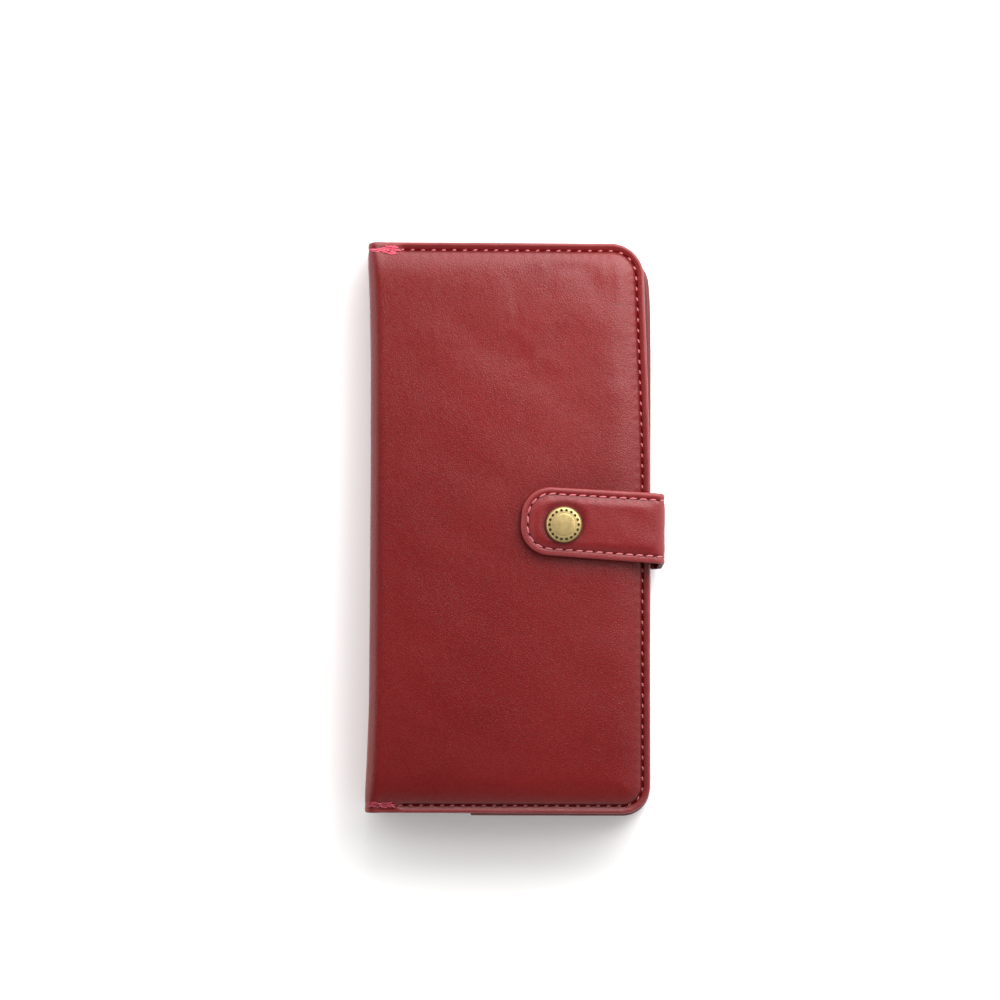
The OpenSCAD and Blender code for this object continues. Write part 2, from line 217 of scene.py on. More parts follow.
def rounded_edges(inset: Array, top: Array, bottom: Array, radius: float) -> tuple[Array, Array]:
    """Rounds the edges of a layer between a top and a bottom surface.

    Args:
        inset: Distance of each point from the edge.
        top: Heights of the top surface.
        bottom: Heights of the bottom surface.
        radius: Width of the rounding.

    Returns:
        The rounded top and bottom heights.
    """
    share = np.clip(inset / radius, 0.0, 1.0)
    full = np.sqrt(np.maximum(1 - (1 - share) ** 2, 0.006))
    middle, half = (top + bottom) / 2, (top - bottom) / 2 * full
    return middle + half, middle - half


def linked(name: str, data: bpy.types.ID) -> bpy.types.Object:
    """An object with this data, in the scene and at the origin."""
    made = bpy.data.objects.new(name, data)
    bpy.context.scene.collection.objects.link(made)
    return made


def mesh_object(name: str, vertices_mm: Array, faces: Array, values: Optional[dict[str, Array]] = None,
                place: Optional[Array] = None) -> bpy.types.Object:
    """A smooth mesh object at the origin.

    Args:
        name: The piece's name.
        vertices_mm: Vertex positions in millimetres.
        faces: Vertex numbers of the quads, one row each.
        values: Named numbers per vertex, kept as attributes.
        place: Positions that patterns follow, if they differ from the vertices.

    Returns:
        The linked object.
    """
    mesh = bpy.data.meshes.new(name)
    mesh.from_pydata((vertices_mm * MM).tolist(), [], faces.tolist())
    spots = mesh.attributes.new("place", "FLOAT_VECTOR", "POINT")
    followed = (vertices_mm if place is None else place) * MM
    spots.data.foreach_set("vector", followed.astype(np.float32).ravel())
    for key, numbers in (values or {}).items():
        attribute = mesh.attributes.new(key, "FLOAT", "POINT")
        attribute.data.foreach_set("value", numbers.astype(np.float32).ravel())
    mesh.polygons.foreach_set("use_smooth", [True] * len(mesh.polygons))
    return linked(name, mesh)


def outward(made: bpy.types.Object, sharp_degrees: float = 62.0) -> bpy.types.Object:
    """Turns the faces of a closed mesh outwards, and marks its sharp edges."""
    work = bmesh.new()
    work.from_mesh(made.data)
    bmesh.ops.recalc_face_normals(work, faces=work.faces)
    work.to_mesh(made.data)
    work.free()
    made.data.set_sharp_from_angle(angle=math.radians(sharp_degrees))
    return made


def grid_quads(rows: int, columns: int) -> Array:
    """Vertex numbers of a grid's quads, one row each."""
    number = np.arange(rows * columns).reshape(rows, columns)
    return np.stack([number[:-1, :-1], number[1:, :-1], number[1:, 1:], number[:-1, 1:]], -1).reshape(-1, 4)


def layer(name: str, x: Array, y: Array, top: Array, bottom: Array, bend: Bend,
          values: Optional[dict[str, Array]] = None) -> bpy.types.Object:
    """A closed layer over a grid: a top skin, a bottom skin and the walls between.

    Args:
        name: The piece's name.
        x: First coordinates of the grid.
        y: Second coordinates of the grid.
        top: Height of the top skin at each point.
        bottom: Height of the bottom skin at each point.
        bend: Takes the coordinates and heights to places in millimetres.
        values: Named numbers per grid point, used for both skins.

    Returns:
        The layer's object.
    """
    rows, columns = x.shape
    count = rows * columns
    number = np.arange(count).reshape(rows, columns)
    quads = grid_quads(rows, columns)
    loop = np.concatenate([number[:-1, 0], number[-1, :-1], number[:0:-1, -1], number[0, :0:-1]])
    after = np.roll(loop, -1)
    walls = np.stack([loop, loop + count, after + count, after], -1)
    faces = np.concatenate([quads, quads[:, ::-1] + count, walls])
    places = np.concatenate([bend(x, y, top).reshape(-1, 3), bend(x, y, bottom).reshape(-1, 3)])
    doubled = {key: np.concatenate([v.ravel(), v.ravel()]) for key, v in (values or {}).items()}
    return outward(mesh_object(name, places, faces, doubled))


def lifted(level: float) -> Bend:
    """A bend that only sets heights off from a level, for pieces that lie flat."""

    def bend(x: Array, y: Array, h: Array) -> Array:
        """Takes coordinates and heights to places."""
        return np.stack([x, y, level + h], -1)

    return bend


def revolved(name: str, profile: Sequence[tuple[float, float]], centre: tuple[float, float],
             segments: int = 96) -> bpy.types.Object:
    """A turned piece on an upright axis.

    Args:
        name: The piece's name.
        profile: (radius, height) points from the top's middle to the bottom's middle.
        centre: The axis's x and y.
        segments: Facets round the axis.

    Returns:
        The closed, turned piece.
    """
    angles = np.linspace(0, 2 * math.pi, segments, endpoint=False)
    rings = [np.stack([centre[0] + r * np.cos(angles), centre[1] + r * np.sin(angles),
                       np.full(segments, h)], -1) for r, h in profile[1:-1]]
    ends = [np.array([[centre[0], centre[1], height]]) for height in (profile[0][1], profile[-1][1])]
    vertices = np.concatenate(rings + ends)
    first = np.arange(segments)
    after = np.roll(first, -1)
    faces: list[list[int]] = []
    for k in range(len(rings) - 1):
        low, high = k * segments, (k + 1) * segments
        faces += np.stack([first + low, first + high, after + high, after + low], -1).tolist()
    top, bottom = len(rings) * segments, len(rings) * segments + 1
    last = (len(rings) - 1) * segments
    faces += [[a, b, top] for a, b in zip(first.tolist(), after.tolist())]
    faces += [[b + last, a + last, bottom] for a, b in zip(first.tolist(), after.tolist())]
    mesh = bpy.data.meshes.new(name)
    mesh.from_pydata((vertices * MM).tolist(), [], faces)
    mesh.polygons.foreach_set("use_smooth", [True] * len(mesh.polygons))
    return outward(linked(name, mesh))


def dress(made: bpy.types.Object, material: bpy.types.Material) -> bpy.types.Object:
    """Gives a piece its one material."""
    made.data.materials.clear()
    made.data.materials.append(material)
    return made


def joined(name: str, pieces: Sequence[bpy.types.Object]) -> bpy.types.Object:
    """Several mesh objects as one."""
    bpy.ops.object.select_all(action="DESELECT")
    for piece in pieces:
        piece.select_set(True)
    bpy.context.view_layer.objects.active = pieces[0]
    bpy.ops.object.join()
    made = pieces[0]
    made.name = made.data.name = name
    return made


# ---------------------------------------------------------------- finishes

def add_node(tree: bpy.types.NodeTree, kind: str, inputs: Optional[dict[Any, Any]] = None,
             **settings: Any) -> bpy.types.Node:
    """Adds a node to a tree.

    Args:
        tree: The node tree.
        kind: The node's type name.
        inputs: Socket name or number to a value, or to another node's output to link.
        settings: Properties set on the node itself.

    Returns:
        The new node.
    """
    made = tree.nodes.new(kind)
    for key, value in settings.items():
        setattr(made, key, value)
    for key, value in (inputs or {}).items():
        if isinstance(value, bpy.types.NodeSocket):
            tree.links.new(value, made.inputs[key])
        else:
            made.inputs[key].default_value = value
    return made


def tinted(colour: tuple[float, float, float], factor: float) -> tuple[float, ...]:
    """A colour made lighter or darker by a factor."""
    return tuple(min(1.0, factor * channel) for channel in colour)


class Shader:
    """One material's node tree, with short calls to add and join nodes."""

    def __init__(self, name: str) -> None:
        """Starts a material with an output node."""
        self.material = bpy.data.materials.new(name)
        self.material.use_nodes = True
        self.tree = self.material.node_tree
        self.tree.nodes.clear()
        self.output = self.tree.nodes.new("ShaderNodeOutputMaterial")

    def node(self, kind: str, inputs: Optional[dict[Any, Any]] = None, **settings: Any) -> bpy.types.Node:
        """Adds a shader node, named without its ShaderNode prefix."""
        return add_node(self.tree, "ShaderNode" + kind, inputs, **settings)

    def math(self, operation: str, first: Any, second: Any = 0.0) -> bpy.types.NodeSocket:
        """The result of a Math node on two numbers or sockets."""
        return self.node("Math", {0: first, 1: second}, operation=operation).outputs[0]

    def scaled(self, source: bpy.types.NodeSocket, low: float, high: float, to_low: float,
               to_high: float) -> bpy.types.NodeSocket:
        """A value mapped from one range to another and held inside it."""
        made = self.node("MapRange", {"Value": source, "From Min": low, "From Max": high,
                                      "To Min": to_low, "To Max": to_high})
        return made.outputs[0]

    def mix(self, factor: Any, first: Any, second: Any, blend: str = "MIX") -> bpy.types.NodeSocket:
        """A mix of two colours."""
        made = self.node("Mix", {"Factor": factor}, data_type="RGBA", blend_type=blend)
        for socket, value in ((made.inputs[6], first), (made.inputs[7], second)):
            if isinstance(value, bpy.types.NodeSocket):
                self.tree.links.new(value, socket)
            else:
                socket.default_value = (*value, 1.0)
        return made.outputs[2]

    def attribute(self, name: str, output: str = "Fac") -> bpy.types.NodeSocket:
        """A mesh attribute's value or vector."""
        return self.node("Attribute", attribute_name=name).outputs[output]

    def place(self) -> bpy.types.NodeSocket:
        """The piece's own coordinates, which stay with it as it bends."""
        return self.attribute("place", "Vector")

    def object_place(self) -> bpy.types.NodeSocket:
        """The object's coordinates."""
        return self.node("TexCoord").outputs["Object"]

    def stretched(self, vector: bpy.types.NodeSocket, scale: tuple[float, float, float],
                  turn: float = 0.0) -> bpy.types.NodeSocket:
        """Coordinates scaled along each axis after a turn about Z."""
        turned = self.node("Mapping", {"Vector": vector, "Rotation": (0, 0, turn), "Scale": scale})
        return turned.outputs[0]

    def noise(self, vector: bpy.types.NodeSocket, scale: float, detail: float = 2.0,
              roughness: float = 0.5) -> bpy.types.NodeSocket:
        """A noise pattern's value."""
        made = self.node("TexNoise", {"Vector": vector, "Scale": scale, "Detail": detail,
                                      "Roughness": roughness})
        return made.outputs["Fac"]

    def bump(self, height: bpy.types.NodeSocket, distance: float, strength: float = 1.0,
             normal: Optional[bpy.types.NodeSocket] = None) -> bpy.types.NodeSocket:
        """A bumped normal, over another normal if one is given."""
        inputs = {"Height": height, "Distance": distance, "Strength": strength}
        if normal is not None:
            inputs["Normal"] = normal
        return self.node("Bump", inputs).outputs[0]

    def finish(self, inputs: dict[str, Any]) -> bpy.types.Material:
        """Ends the tree in a Principled shader with these inputs."""
        shader = self.node("BsdfPrincipled", inputs)
        self.tree.links.new(shader.outputs[0], self.output.inputs[0])
        return self.material


@dataclass(frozen=True)
class Leather:
    """Pebbled hide with a satin face, paler rims that are partly worn edge and partly painted highlight, and
    painted shade in grooves, creases and gaps.
    """

    name: str
    colour: tuple[float, float, float]
    rim: tuple[float, float, float]
    roughness: float = 0.44
    grain: float = 1.0
    pebble: float = 0.85
    coat: float = 0.45
    specular: float = 0.12

    def material(self) -> bpy.types.Material:
        """The hide's material."""
        s = Shader(self.name)
        place = s.place()
        drift = s.node("TexNoise", {"Vector": place, "Scale": 420.0, "Detail": 2.0}).outputs["Color"]
        bent = s.node("VectorMath", {0: drift, "Scale": 0.0009}, operation="SCALE").outputs[0]
        wander = s.node("VectorMath", {0: place, 1: bent}, operation="ADD").outputs[0]
        scale = 1.0 / (self.pebble * MM)
        valleys = s.node("TexVoronoi", {"Vector": wander, "Scale": scale, "Randomness": 1.0},
                         feature="DISTANCE_TO_EDGE").outputs["Distance"]
        pebbles = s.scaled(valleys, 0.0, 0.22, 0.0, 1.0)
        fine = s.noise(place, 3.2 * scale, 3.0, 0.6)
        creases = s.noise(s.stretched(place, (1.0, 0.45, 1.0), 0.5), 300.0, 4.0, 0.6)
        height = s.math("ADD", s.math("MULTIPLY", pebbles, 0.55), s.math("MULTIPLY", fine, 0.45))
        grain = s.bump(height, 0.00010 * self.grain, 0.65)
        normal = s.bump(creases, 0.0004 * self.grain, 0.2, grain)
        clouds = s.noise(place, 22.0, 3.0, 0.55)
        tone = s.mix(s.scaled(clouds, 0.3, 0.7, 0.0, 1.0), tinted(self.colour, 0.9),
                     tinted(self.colour, 1.08))
        # Darker in the grain's valleys between the pebbles.
        darker_in_valleys = s.mix(s.math("MULTIPLY", s.math("SUBTRACT", 1.0, pebbles), 0.3), tone,
                      tinted(self.colour, 0.35))
        # Paler rims: partly the worn edge's own paler finish, partly painted highlight on the rounded edges.
        rimmed = s.mix(s.attribute("rim"), darker_in_valleys, self.rim)
        # Colour of the painted shade that the attribute below mixes into grooves, creases and gaps.
        painted_shade_colour = (0.38 * self.colour[0], 0.05 * self.colour[1], 0.05 * self.colour[2])
        shaded = s.mix(s.attribute("fold"), rimmed, painted_shade_colour)
        rough = s.math("ADD", s.scaled(clouds, 0.3, 0.7, self.roughness - 0.05, self.roughness + 0.05),
                       s.math("MULTIPLY", fine, 0.06))
        return s.finish({"Base Color": shaded, "Roughness": rough, "Normal": normal,
                         "Specular IOR Level": self.specular, "Coat Weight": self.coat,
                         "Coat Roughness": 0.33, "Coat Normal": normal})


@dataclass(frozen=True)
class Twill:
    """Woven lining cloth with a diagonal rib."""

    name: str
    colour: tuple[float, float, float]
    pitch: float = 0.7

    def material(self) -> bpy.types.Material:
        """The cloth's material."""
        s = Shader(self.name)
        place = s.place()
        turns = 0.314 / (self.pitch * MM)
        rib = s.node("TexWave", {"Vector": s.stretched(place, (1, 1, 1), 0.9), "Scale": turns,
                                 "Distortion": 0.4, "Detail": 1.0}).outputs["Fac"]
        cross = s.node("TexWave", {"Vector": s.stretched(place, (1, 1, 1), -0.7), "Scale": 2 * turns,
                                   "Distortion": 0.3, "Detail": 1.0}).outputs["Fac"]
        weave = s.math("ADD", s.math("MULTIPLY", rib, 0.7), s.math("MULTIPLY", cross, 0.3))
        fuzz = s.noise(place, 900.0, 3.0)
        colour = s.mix(s.math("MULTIPLY", weave, 0.7), tinted(self.colour, 0.6),
                       tinted(self.colour, 1.35))
        normal = s.bump(s.math("ADD", weave, s.math("MULTIPLY", fuzz, 0.4)), 0.00015, 0.7)
        return s.finish({"Base Color": colour, "Roughness": 0.85, "Normal": normal,
                         "Sheen Weight": 0.3, "Sheen Roughness": 0.4})


@dataclass(frozen=True)
class Thread:
    """Twisted waxed thread."""

    name: str
    colour: tuple[float, float, float]
    roughness: float = 0.5

    def material(self) -> bpy.types.Material:
        """The thread's material, with its plies along the stitch."""
        s = Shader(self.name)
        local = s.attribute("local", "Vector")
        plies = s.node("TexWave", {"Vector": s.stretched(local, (1.0, 0.6, 0.6), 0.6), "Scale": 0.9,
                                   "Distortion": 0.5}).outputs["Fac"]
        fuzz = s.noise(local, 6.0, 3.0)
        colour = s.mix(plies, tinted(self.colour, 0.55), tinted(self.colour, 1.15))
        normal = s.bump(s.math("ADD", plies, s.math("MULTIPLY", fuzz, 0.4)), 0.00008, 0.8)
        return s.finish({"Base Color": colour, "Roughness": self.roughness, "Normal": normal,
                         "Sheen Weight": 0.2, "Sheen Roughness": 0.4})


@dataclass(frozen=True)
class Shadowed:
    """Painted shade for a needle hole: a dark piece set where the hole's shade falls."""

    name: str
    colour: tuple[float, float, float]

    def material(self) -> bpy.types.Material:
        """The material of the hole's painted shade."""
        s = Shader(self.name)
        grain = s.noise(s.attribute("local", "Vector"), 5.0, 3.0)
        colour = s.mix(grain, tinted(self.colour, 0.7), tinted(self.colour, 1.3))
        return s.finish({"Base Color": colour, "Roughness": 0.95, "Specular IOR Level": 0.05})


@dataclass(frozen=True)
class AgedBrass:
    """Antique brass: worn bright on top, dark patina in the low places."""

    name: str
    bright: tuple[float, float, float] = (0.53, 0.395, 0.175)
    dark: tuple[float, float, float] = (0.12, 0.095, 0.04)
    roughness: float = 0.5

    def material(self) -> bpy.types.Material:
        """The metal's material."""
        s = Shader(self.name)
        place = s.object_place()
        patches = s.noise(place, 420.0, 4.0, 0.6)
        scratches = s.noise(s.stretched(place, (0.12, 1.0, 1.0), 0.5), 5200.0, 2.0)
        worn = s.math("ADD", s.math("MULTIPLY", patches, 0.8), s.math("MULTIPLY", scratches, 0.2))
        aged = s.math("MAXIMUM", s.scaled(worn, 0.38, 0.66, 0.0, 0.5), s.attribute("patina"))
        colour = s.mix(aged, self.bright, self.dark)
        rough = s.math("ADD", s.math("MULTIPLY", aged, 0.25), self.roughness - 0.05)
        normal = s.bump(s.math("ADD", scratches, patches), 0.00002, 0.6)
        return s.finish({"Base Color": colour, "Metallic": 1.0, "Roughness": rough, "Normal": normal})


@dataclass(frozen=True)
class Plain:
    """A matt material with a fine mottle, for what is sealed inside."""

    name: str
    colour: tuple[float, float, float]
    grain_scale: float = 900.0
    metallic: float = 0.0
    roughness: float = 0.9

    def material(self) -> bpy.types.Material:
        """The mottled material."""
        s = Shader(self.name)
        mottle = s.noise(s.object_place(), self.grain_scale, 3.0, 0.6)
        colour = s.mix(mottle, tinted(self.colour, 0.75), tinted(self.colour, 1.15))
        return s.finish({"Base Color": colour, "Roughness": self.roughness, "Metallic": self.metallic,
                         "Normal": s.bump(mottle, 0.0001, 0.5)})


class Finishes:
    """The wallet's materials, made once."""

    def __init__(self) -> None:
        """Makes every material."""
        # pale is the rims' colour: partly worn edge finish, partly painted highlight.
        red, pale = (0.131, 0.0040, 0.0044), (0.19, 0.028, 0.030)
        self.hide = Leather("hide_burgundy", red, pale).material()
        self.strap = Leather("strap_burgundy", (0.150, 0.0055, 0.0070), pale, pebble=0.7).material()
        self.pocket = Leather("pocket_burgundy", (0.17, 0.012, 0.015), (0.26, 0.03, 0.035), roughness=0.5,
                              grain=0.6, pebble=0.6, coat=0.15).material()
        self.strap_back = Leather("strap_backing", (0.085, 0.010, 0.012), (0.12, 0.02, 0.02), roughness=0.6,
                                  grain=0.6, pebble=0.6, coat=0.0).material()
        self.lining = Twill("lining_twill", (0.060, 0.012, 0.012)).material()
        self.thread = Thread("thread_rose", (0.42, 0.082, 0.095)).material()
        self.tack = Thread("thread_pink", (0.62, 0.06, 0.11), 0.42).material()
        self.darker_tack = Thread("thread_darker", (0.34, 0.02, 0.045), 0.5).material()
        # The needle holes' dark pieces are painted shade.
        self.hole = Shadowed("needle_hole_painted_shade", (0.065, 0.0010, 0.0014)).material()
        self.brass = AgedBrass("antique_brass").material()
        self.dot = AgedBrass("brass_blackened", (0.045, 0.038, 0.02), (0.015, 0.013, 0.01), 0.6).material()
        self.steel = Plain("spring_steel", (0.45, 0.45, 0.45), 3000.0, 1.0, 0.35).material()
        self.foam = Plain("foam_grey", (0.55, 0.54, 0.50)).material()
        self.board = Plain("bonded_board", (0.30, 0.25, 0.20), 1500.0).material()


# ---------------------------------------------------------------- thread by geometry nodes

@dataclass(frozen=True)
class RunStyle:
    """How pieces repeat along a seam.

    Sizes are millimetres and turns are degrees. slant turns each piece in the surface, loose is the
    random part of its place and stray the random part of its turn.
    """

    pitch: float
    length: float
    width: float
    height: float
    slant: float = 0.0
    loose: float = 0.05
    stray: float = 4.0
    seed: int = 3
    segments: int = 10


class SeamRun:
    """A geometry-nodes tree that sets small rounded pieces along a path, one at each pitch."""

    NUMBERS = ("Pitch", "Length", "Width", "Height", "Slant", "Loose", "Stray")

    def __init__(self) -> None:
        """Builds the tree."""
        self.tree = bpy.data.node_groups.new("seam_run", "GeometryNodeTree")
        face = self.tree.interface
        face.new_socket("Geometry", in_out="INPUT", socket_type="NodeSocketGeometry")
        for name in self.NUMBERS:
            face.new_socket(name, in_out="INPUT", socket_type="NodeSocketFloat")
        face.new_socket("Segments", in_out="INPUT", socket_type="NodeSocketInt")
        face.new_socket("Seed", in_out="INPUT", socket_type="NodeSocketInt")
        face.new_socket("Material", in_out="INPUT", socket_type="NodeSocketMaterial")
        face.new_socket("Geometry", in_out="OUTPUT", socket_type="NodeSocketGeometry")
        self._build()

    def _add(self, kind: str, inputs: Optional[dict[Any, Any]] = None, **settings: Any) -> bpy.types.Node:
        """Adds a node with its settings and inputs, linking inputs that are sockets."""
        return add_node(self.tree, kind, inputs, **settings)

    def _build(self) -> None:
        """Lays out the tree: path to points, a rounded piece, and its copies."""
        given = self._add("NodeGroupInput").outputs
        path = self._add("GeometryNodeMeshToCurve", {"Mesh": given["Geometry"]}).outputs[0]
        even = self._add("GeometryNodeResampleCurve", {"Curve": path, "Length": given["Pitch"]},
                         mode="LENGTH")
        points = self._add("GeometryNodeCurveToPoints", {"Curve": even.outputs[0]}, mode="EVALUATED")
        up = self._add("GeometryNodeInputNamedAttribute", {"Name": "up"}, data_type="FLOAT_VECTOR").outputs[0]
        ahead = self._add("FunctionNodeAlignRotationToVector", {"Vector": points.outputs["Tangent"]},
                          axis="X")
        upright = self._add("FunctionNodeAlignRotationToVector", {"Rotation": ahead.outputs[0], "Vector": up},
                            axis="Z", pivot_axis="X")
        turn = self._random("FLOAT", given["Stray"], given["Seed"], 1)
        slanted = self._add("ShaderNodeMath", {0: given["Slant"], 1: turn}, operation="ADD").outputs[0]
        radians = self._add("ShaderNodeMath", {0: slanted}, operation="RADIANS").outputs[0]
        about = self._add("FunctionNodeAxisAngleToRotation", {"Axis": (0.0, 0.0, 1.0), "Angle": radians})
        rotation = self._add("FunctionNodeRotateRotation", {"Rotation": upright.outputs[0],
                                                            "Rotate By": about.outputs[0]},
                             rotation_space="LOCAL")
        rows = self._add("ShaderNodeMath", {0: given["Segments"], 1: 0.6}, operation="MULTIPLY").outputs[0]
        ball = self._add("GeometryNodeMeshUVSphere", {"Segments": given["Segments"], "Rings": rows,
                                                      "Radius": 0.5})
        spot = self._add("GeometryNodeInputPosition").outputs[0]
        marked = self._add("GeometryNodeStoreNamedAttribute", {"Geometry": ball.outputs[0], "Name": "local",
                                                               "Value": spot}, data_type="FLOAT_VECTOR")
        size = self._add("ShaderNodeCombineXYZ", {"X": given["Length"], "Y": given["Width"],
                                                  "Z": given["Height"]})
        piece = self._add("GeometryNodeTransform", {"Geometry": marked.outputs[0], "Scale": size.outputs[0]})
        soft = self._add("GeometryNodeSetShadeSmooth", {"Geometry": piece.outputs[0]})
        shift = self._random("FLOAT_VECTOR", given["Loose"], given["Seed"], 2)
        placed = self._add("GeometryNodeSetPosition", {"Geometry": points.outputs[0], "Offset": shift})
        copies = self._add("GeometryNodeInstanceOnPoints", {"Points": placed.outputs[0],
                                                            "Instance": soft.outputs[0],
                                                            "Rotation": rotation.outputs[0]})
        real = self._add("GeometryNodeRealizeInstances", {"Geometry": copies.outputs[0]})
        dressed = self._add("GeometryNodeSetMaterial", {"Geometry": real.outputs[0],
                                                        "Material": given["Material"]})
        self._add("NodeGroupOutput", {"Geometry": dressed.outputs[0]})

    def _random(self, kind: str, most: bpy.types.NodeSocket, seed: bpy.types.NodeSocket,
                stream: int) -> bpy.types.NodeSocket:
        """A random number or vector between -most and most, from its own stream of the seed."""
        least = self._add("ShaderNodeMath", {0: most, 1: -1.0}, operation="MULTIPLY").outputs[0]
        own = self._add("ShaderNodeMath", {0: seed, 1: float(stream * 17)}, operation="ADD").outputs[0]
        value = self._add("FunctionNodeRandomValue", data_type=kind)
        low, high = [s for s in value.inputs if s.enabled and s.name in ("Min", "Max")]
        self.tree.links.new(least, low)
        self.tree.links.new(most, high)
        self.tree.links.new(own, value.inputs["Seed"])
        return next(s for s in value.outputs if s.enabled)

    def run(self, name: str, path_mm: Array, up: Array, style: RunStyle,
            material: bpy.types.Material, closed: bool = False) -> bpy.types.Object:
        """Sets pieces along one path.

        Args:
            name: The new piece's name.
            path_mm: Points of the path.
            up: The surface's outward direction at each point.
            style: Sizes and randomness.
            material: The pieces' material.
            closed: Whether the path comes back to its start.

        Returns:
            A plain mesh object with all the pieces.
        """
        count = len(path_mm)
        edges = [(i, i + 1) for i in range(count - 1)] + ([(count - 1, 0)] if closed else [])
        mesh = bpy.data.meshes.new(name + "_path")
        mesh.from_pydata((path_mm * MM).tolist(), edges, [])
        attribute = mesh.attributes.new("up", "FLOAT_VECTOR", "POINT")
        attribute.data.foreach_set("vector", np.ascontiguousarray(up, np.float32).ravel())
        carrier = linked(name + "_path", mesh)
        modifier = carrier.modifiers.new("seam", "NODES")
        modifier.node_group = self.tree
        numbers = {"Pitch": style.pitch * MM, "Length": style.length * MM, "Width": style.width * MM,
                   "Height": style.height * MM, "Slant": style.slant, "Loose": style.loose * MM,
                   "Stray": style.stray, "Segments": style.segments, "Seed": style.seed, "Material": material}
        for item in self.tree.interface.items_tree:
            if item.in_out == "INPUT" and item.name in numbers:
                modifier[item.identifier] = numbers[item.name]
        bpy.context.view_layer.update()
        evaluated = carrier.evaluated_get(bpy.context.evaluated_depsgraph_get())
        result = bpy.data.meshes.new_from_object(evaluated)
        result.name = name
        carrier.modifiers.clear()
        bpy.data.objects.remove(carrier)
        bpy.data.meshes.remove(mesh)
        return linked(name, result)


# ---------------------------------------------------------------- covers

class Side(Enum):
    """Which cover a piece belongs to."""

    FRONT = "front"
    BACK = "back"


@dataclass(frozen=True)
class BorderSeam:
    """The stitch line that runs round a cover's three free edges.

    start is where it begins at the spine, fore and end the edges' places, and the radii those of the
    edge's corners at the top and the bottom end.
    """

    start: float
    fore: float
    end: float
    inset: float
    top_radius: float
    bottom_radius: float

    def lengths(self) -> tuple[float, float, float, float, float]:
        """Lengths of the top run, top corner, fore run, bottom corner and bottom run."""
        top, bottom = self.top_radius - self.inset, self.bottom_radius - self.inset
        reach = self.fore - self.inset - self.start
        return (reach - top, math.pi / 2 * top, 2 * (self.end - self.inset) - top - bottom,
                math.pi / 2 * bottom, reach - bottom)

    def path(self, step: float = 0.5) -> tuple[Array, Array]:
        """Points of the line from the spine's top end round to its bottom end."""
        run, arc, down, low_arc, back = self.lengths()
        top, bottom = self.top_radius - self.inset, self.bottom_radius - self.inset
        x_edge, y_edge = self.fore - self.inset, self.end - self.inset
        total = run + arc + down + low_arc + back
        s = np.linspace(0, total, int(total / step))
        turn = np.clip((s - run) / top, 0, math.pi / 2)
        low_turn = np.clip((s - run - arc - down) / bottom, 0, math.pi / 2)
        along_back = np.clip(s - run - arc - down - low_arc, 0, None)
        x = np.where(s < run + arc + down / 2,
                     self.start + np.minimum(s, run) + top * np.sin(turn),
                     x_edge - bottom * (1 - np.cos(low_turn)) - along_back)
        y = np.where(s < run + arc + down / 2,
                     y_edge - top * (1 - np.cos(turn)) - np.clip(s - run - arc, 0, None),
                     -y_edge + bottom * (1 - np.sin(low_turn)) + np.clip(run + arc + down - s, 0, None))
        return x, y

    def along(self, x: Array, y: Array) -> Array:
        """Distance along the line to the point nearest each place."""
        run, arc, down, _, _ = self.lengths()
        top, bottom = self.top_radius - self.inset, self.bottom_radius - self.inset
        centre_x, low_x = self.fore - self.top_radius, self.fore - self.bottom_radius
        centre_y, low_y = self.end - self.top_radius, -self.end + self.bottom_radius
        top_turn = np.arctan2(np.maximum(x - centre_x, 0), np.maximum(y - centre_y, 1e-6))
        low_turn = np.arctan2(np.maximum(low_y - y, 0), np.maximum(x - low_x, 1e-6))
        on_top = np.minimum(x - self.start, run) + top_turn * top + np.clip(centre_y - y, 0, None)
        below = run + arc + down + low_turn * bottom + np.clip(low_x - x, 0, None)
        fore_side = run + arc + np.clip(centre_y - y, 0, down)
        near_fore = (y < centre_y) & (y > low_y)
        return np.where(near_fore, fore_side, np.where(y >= centre_y, on_top, below))


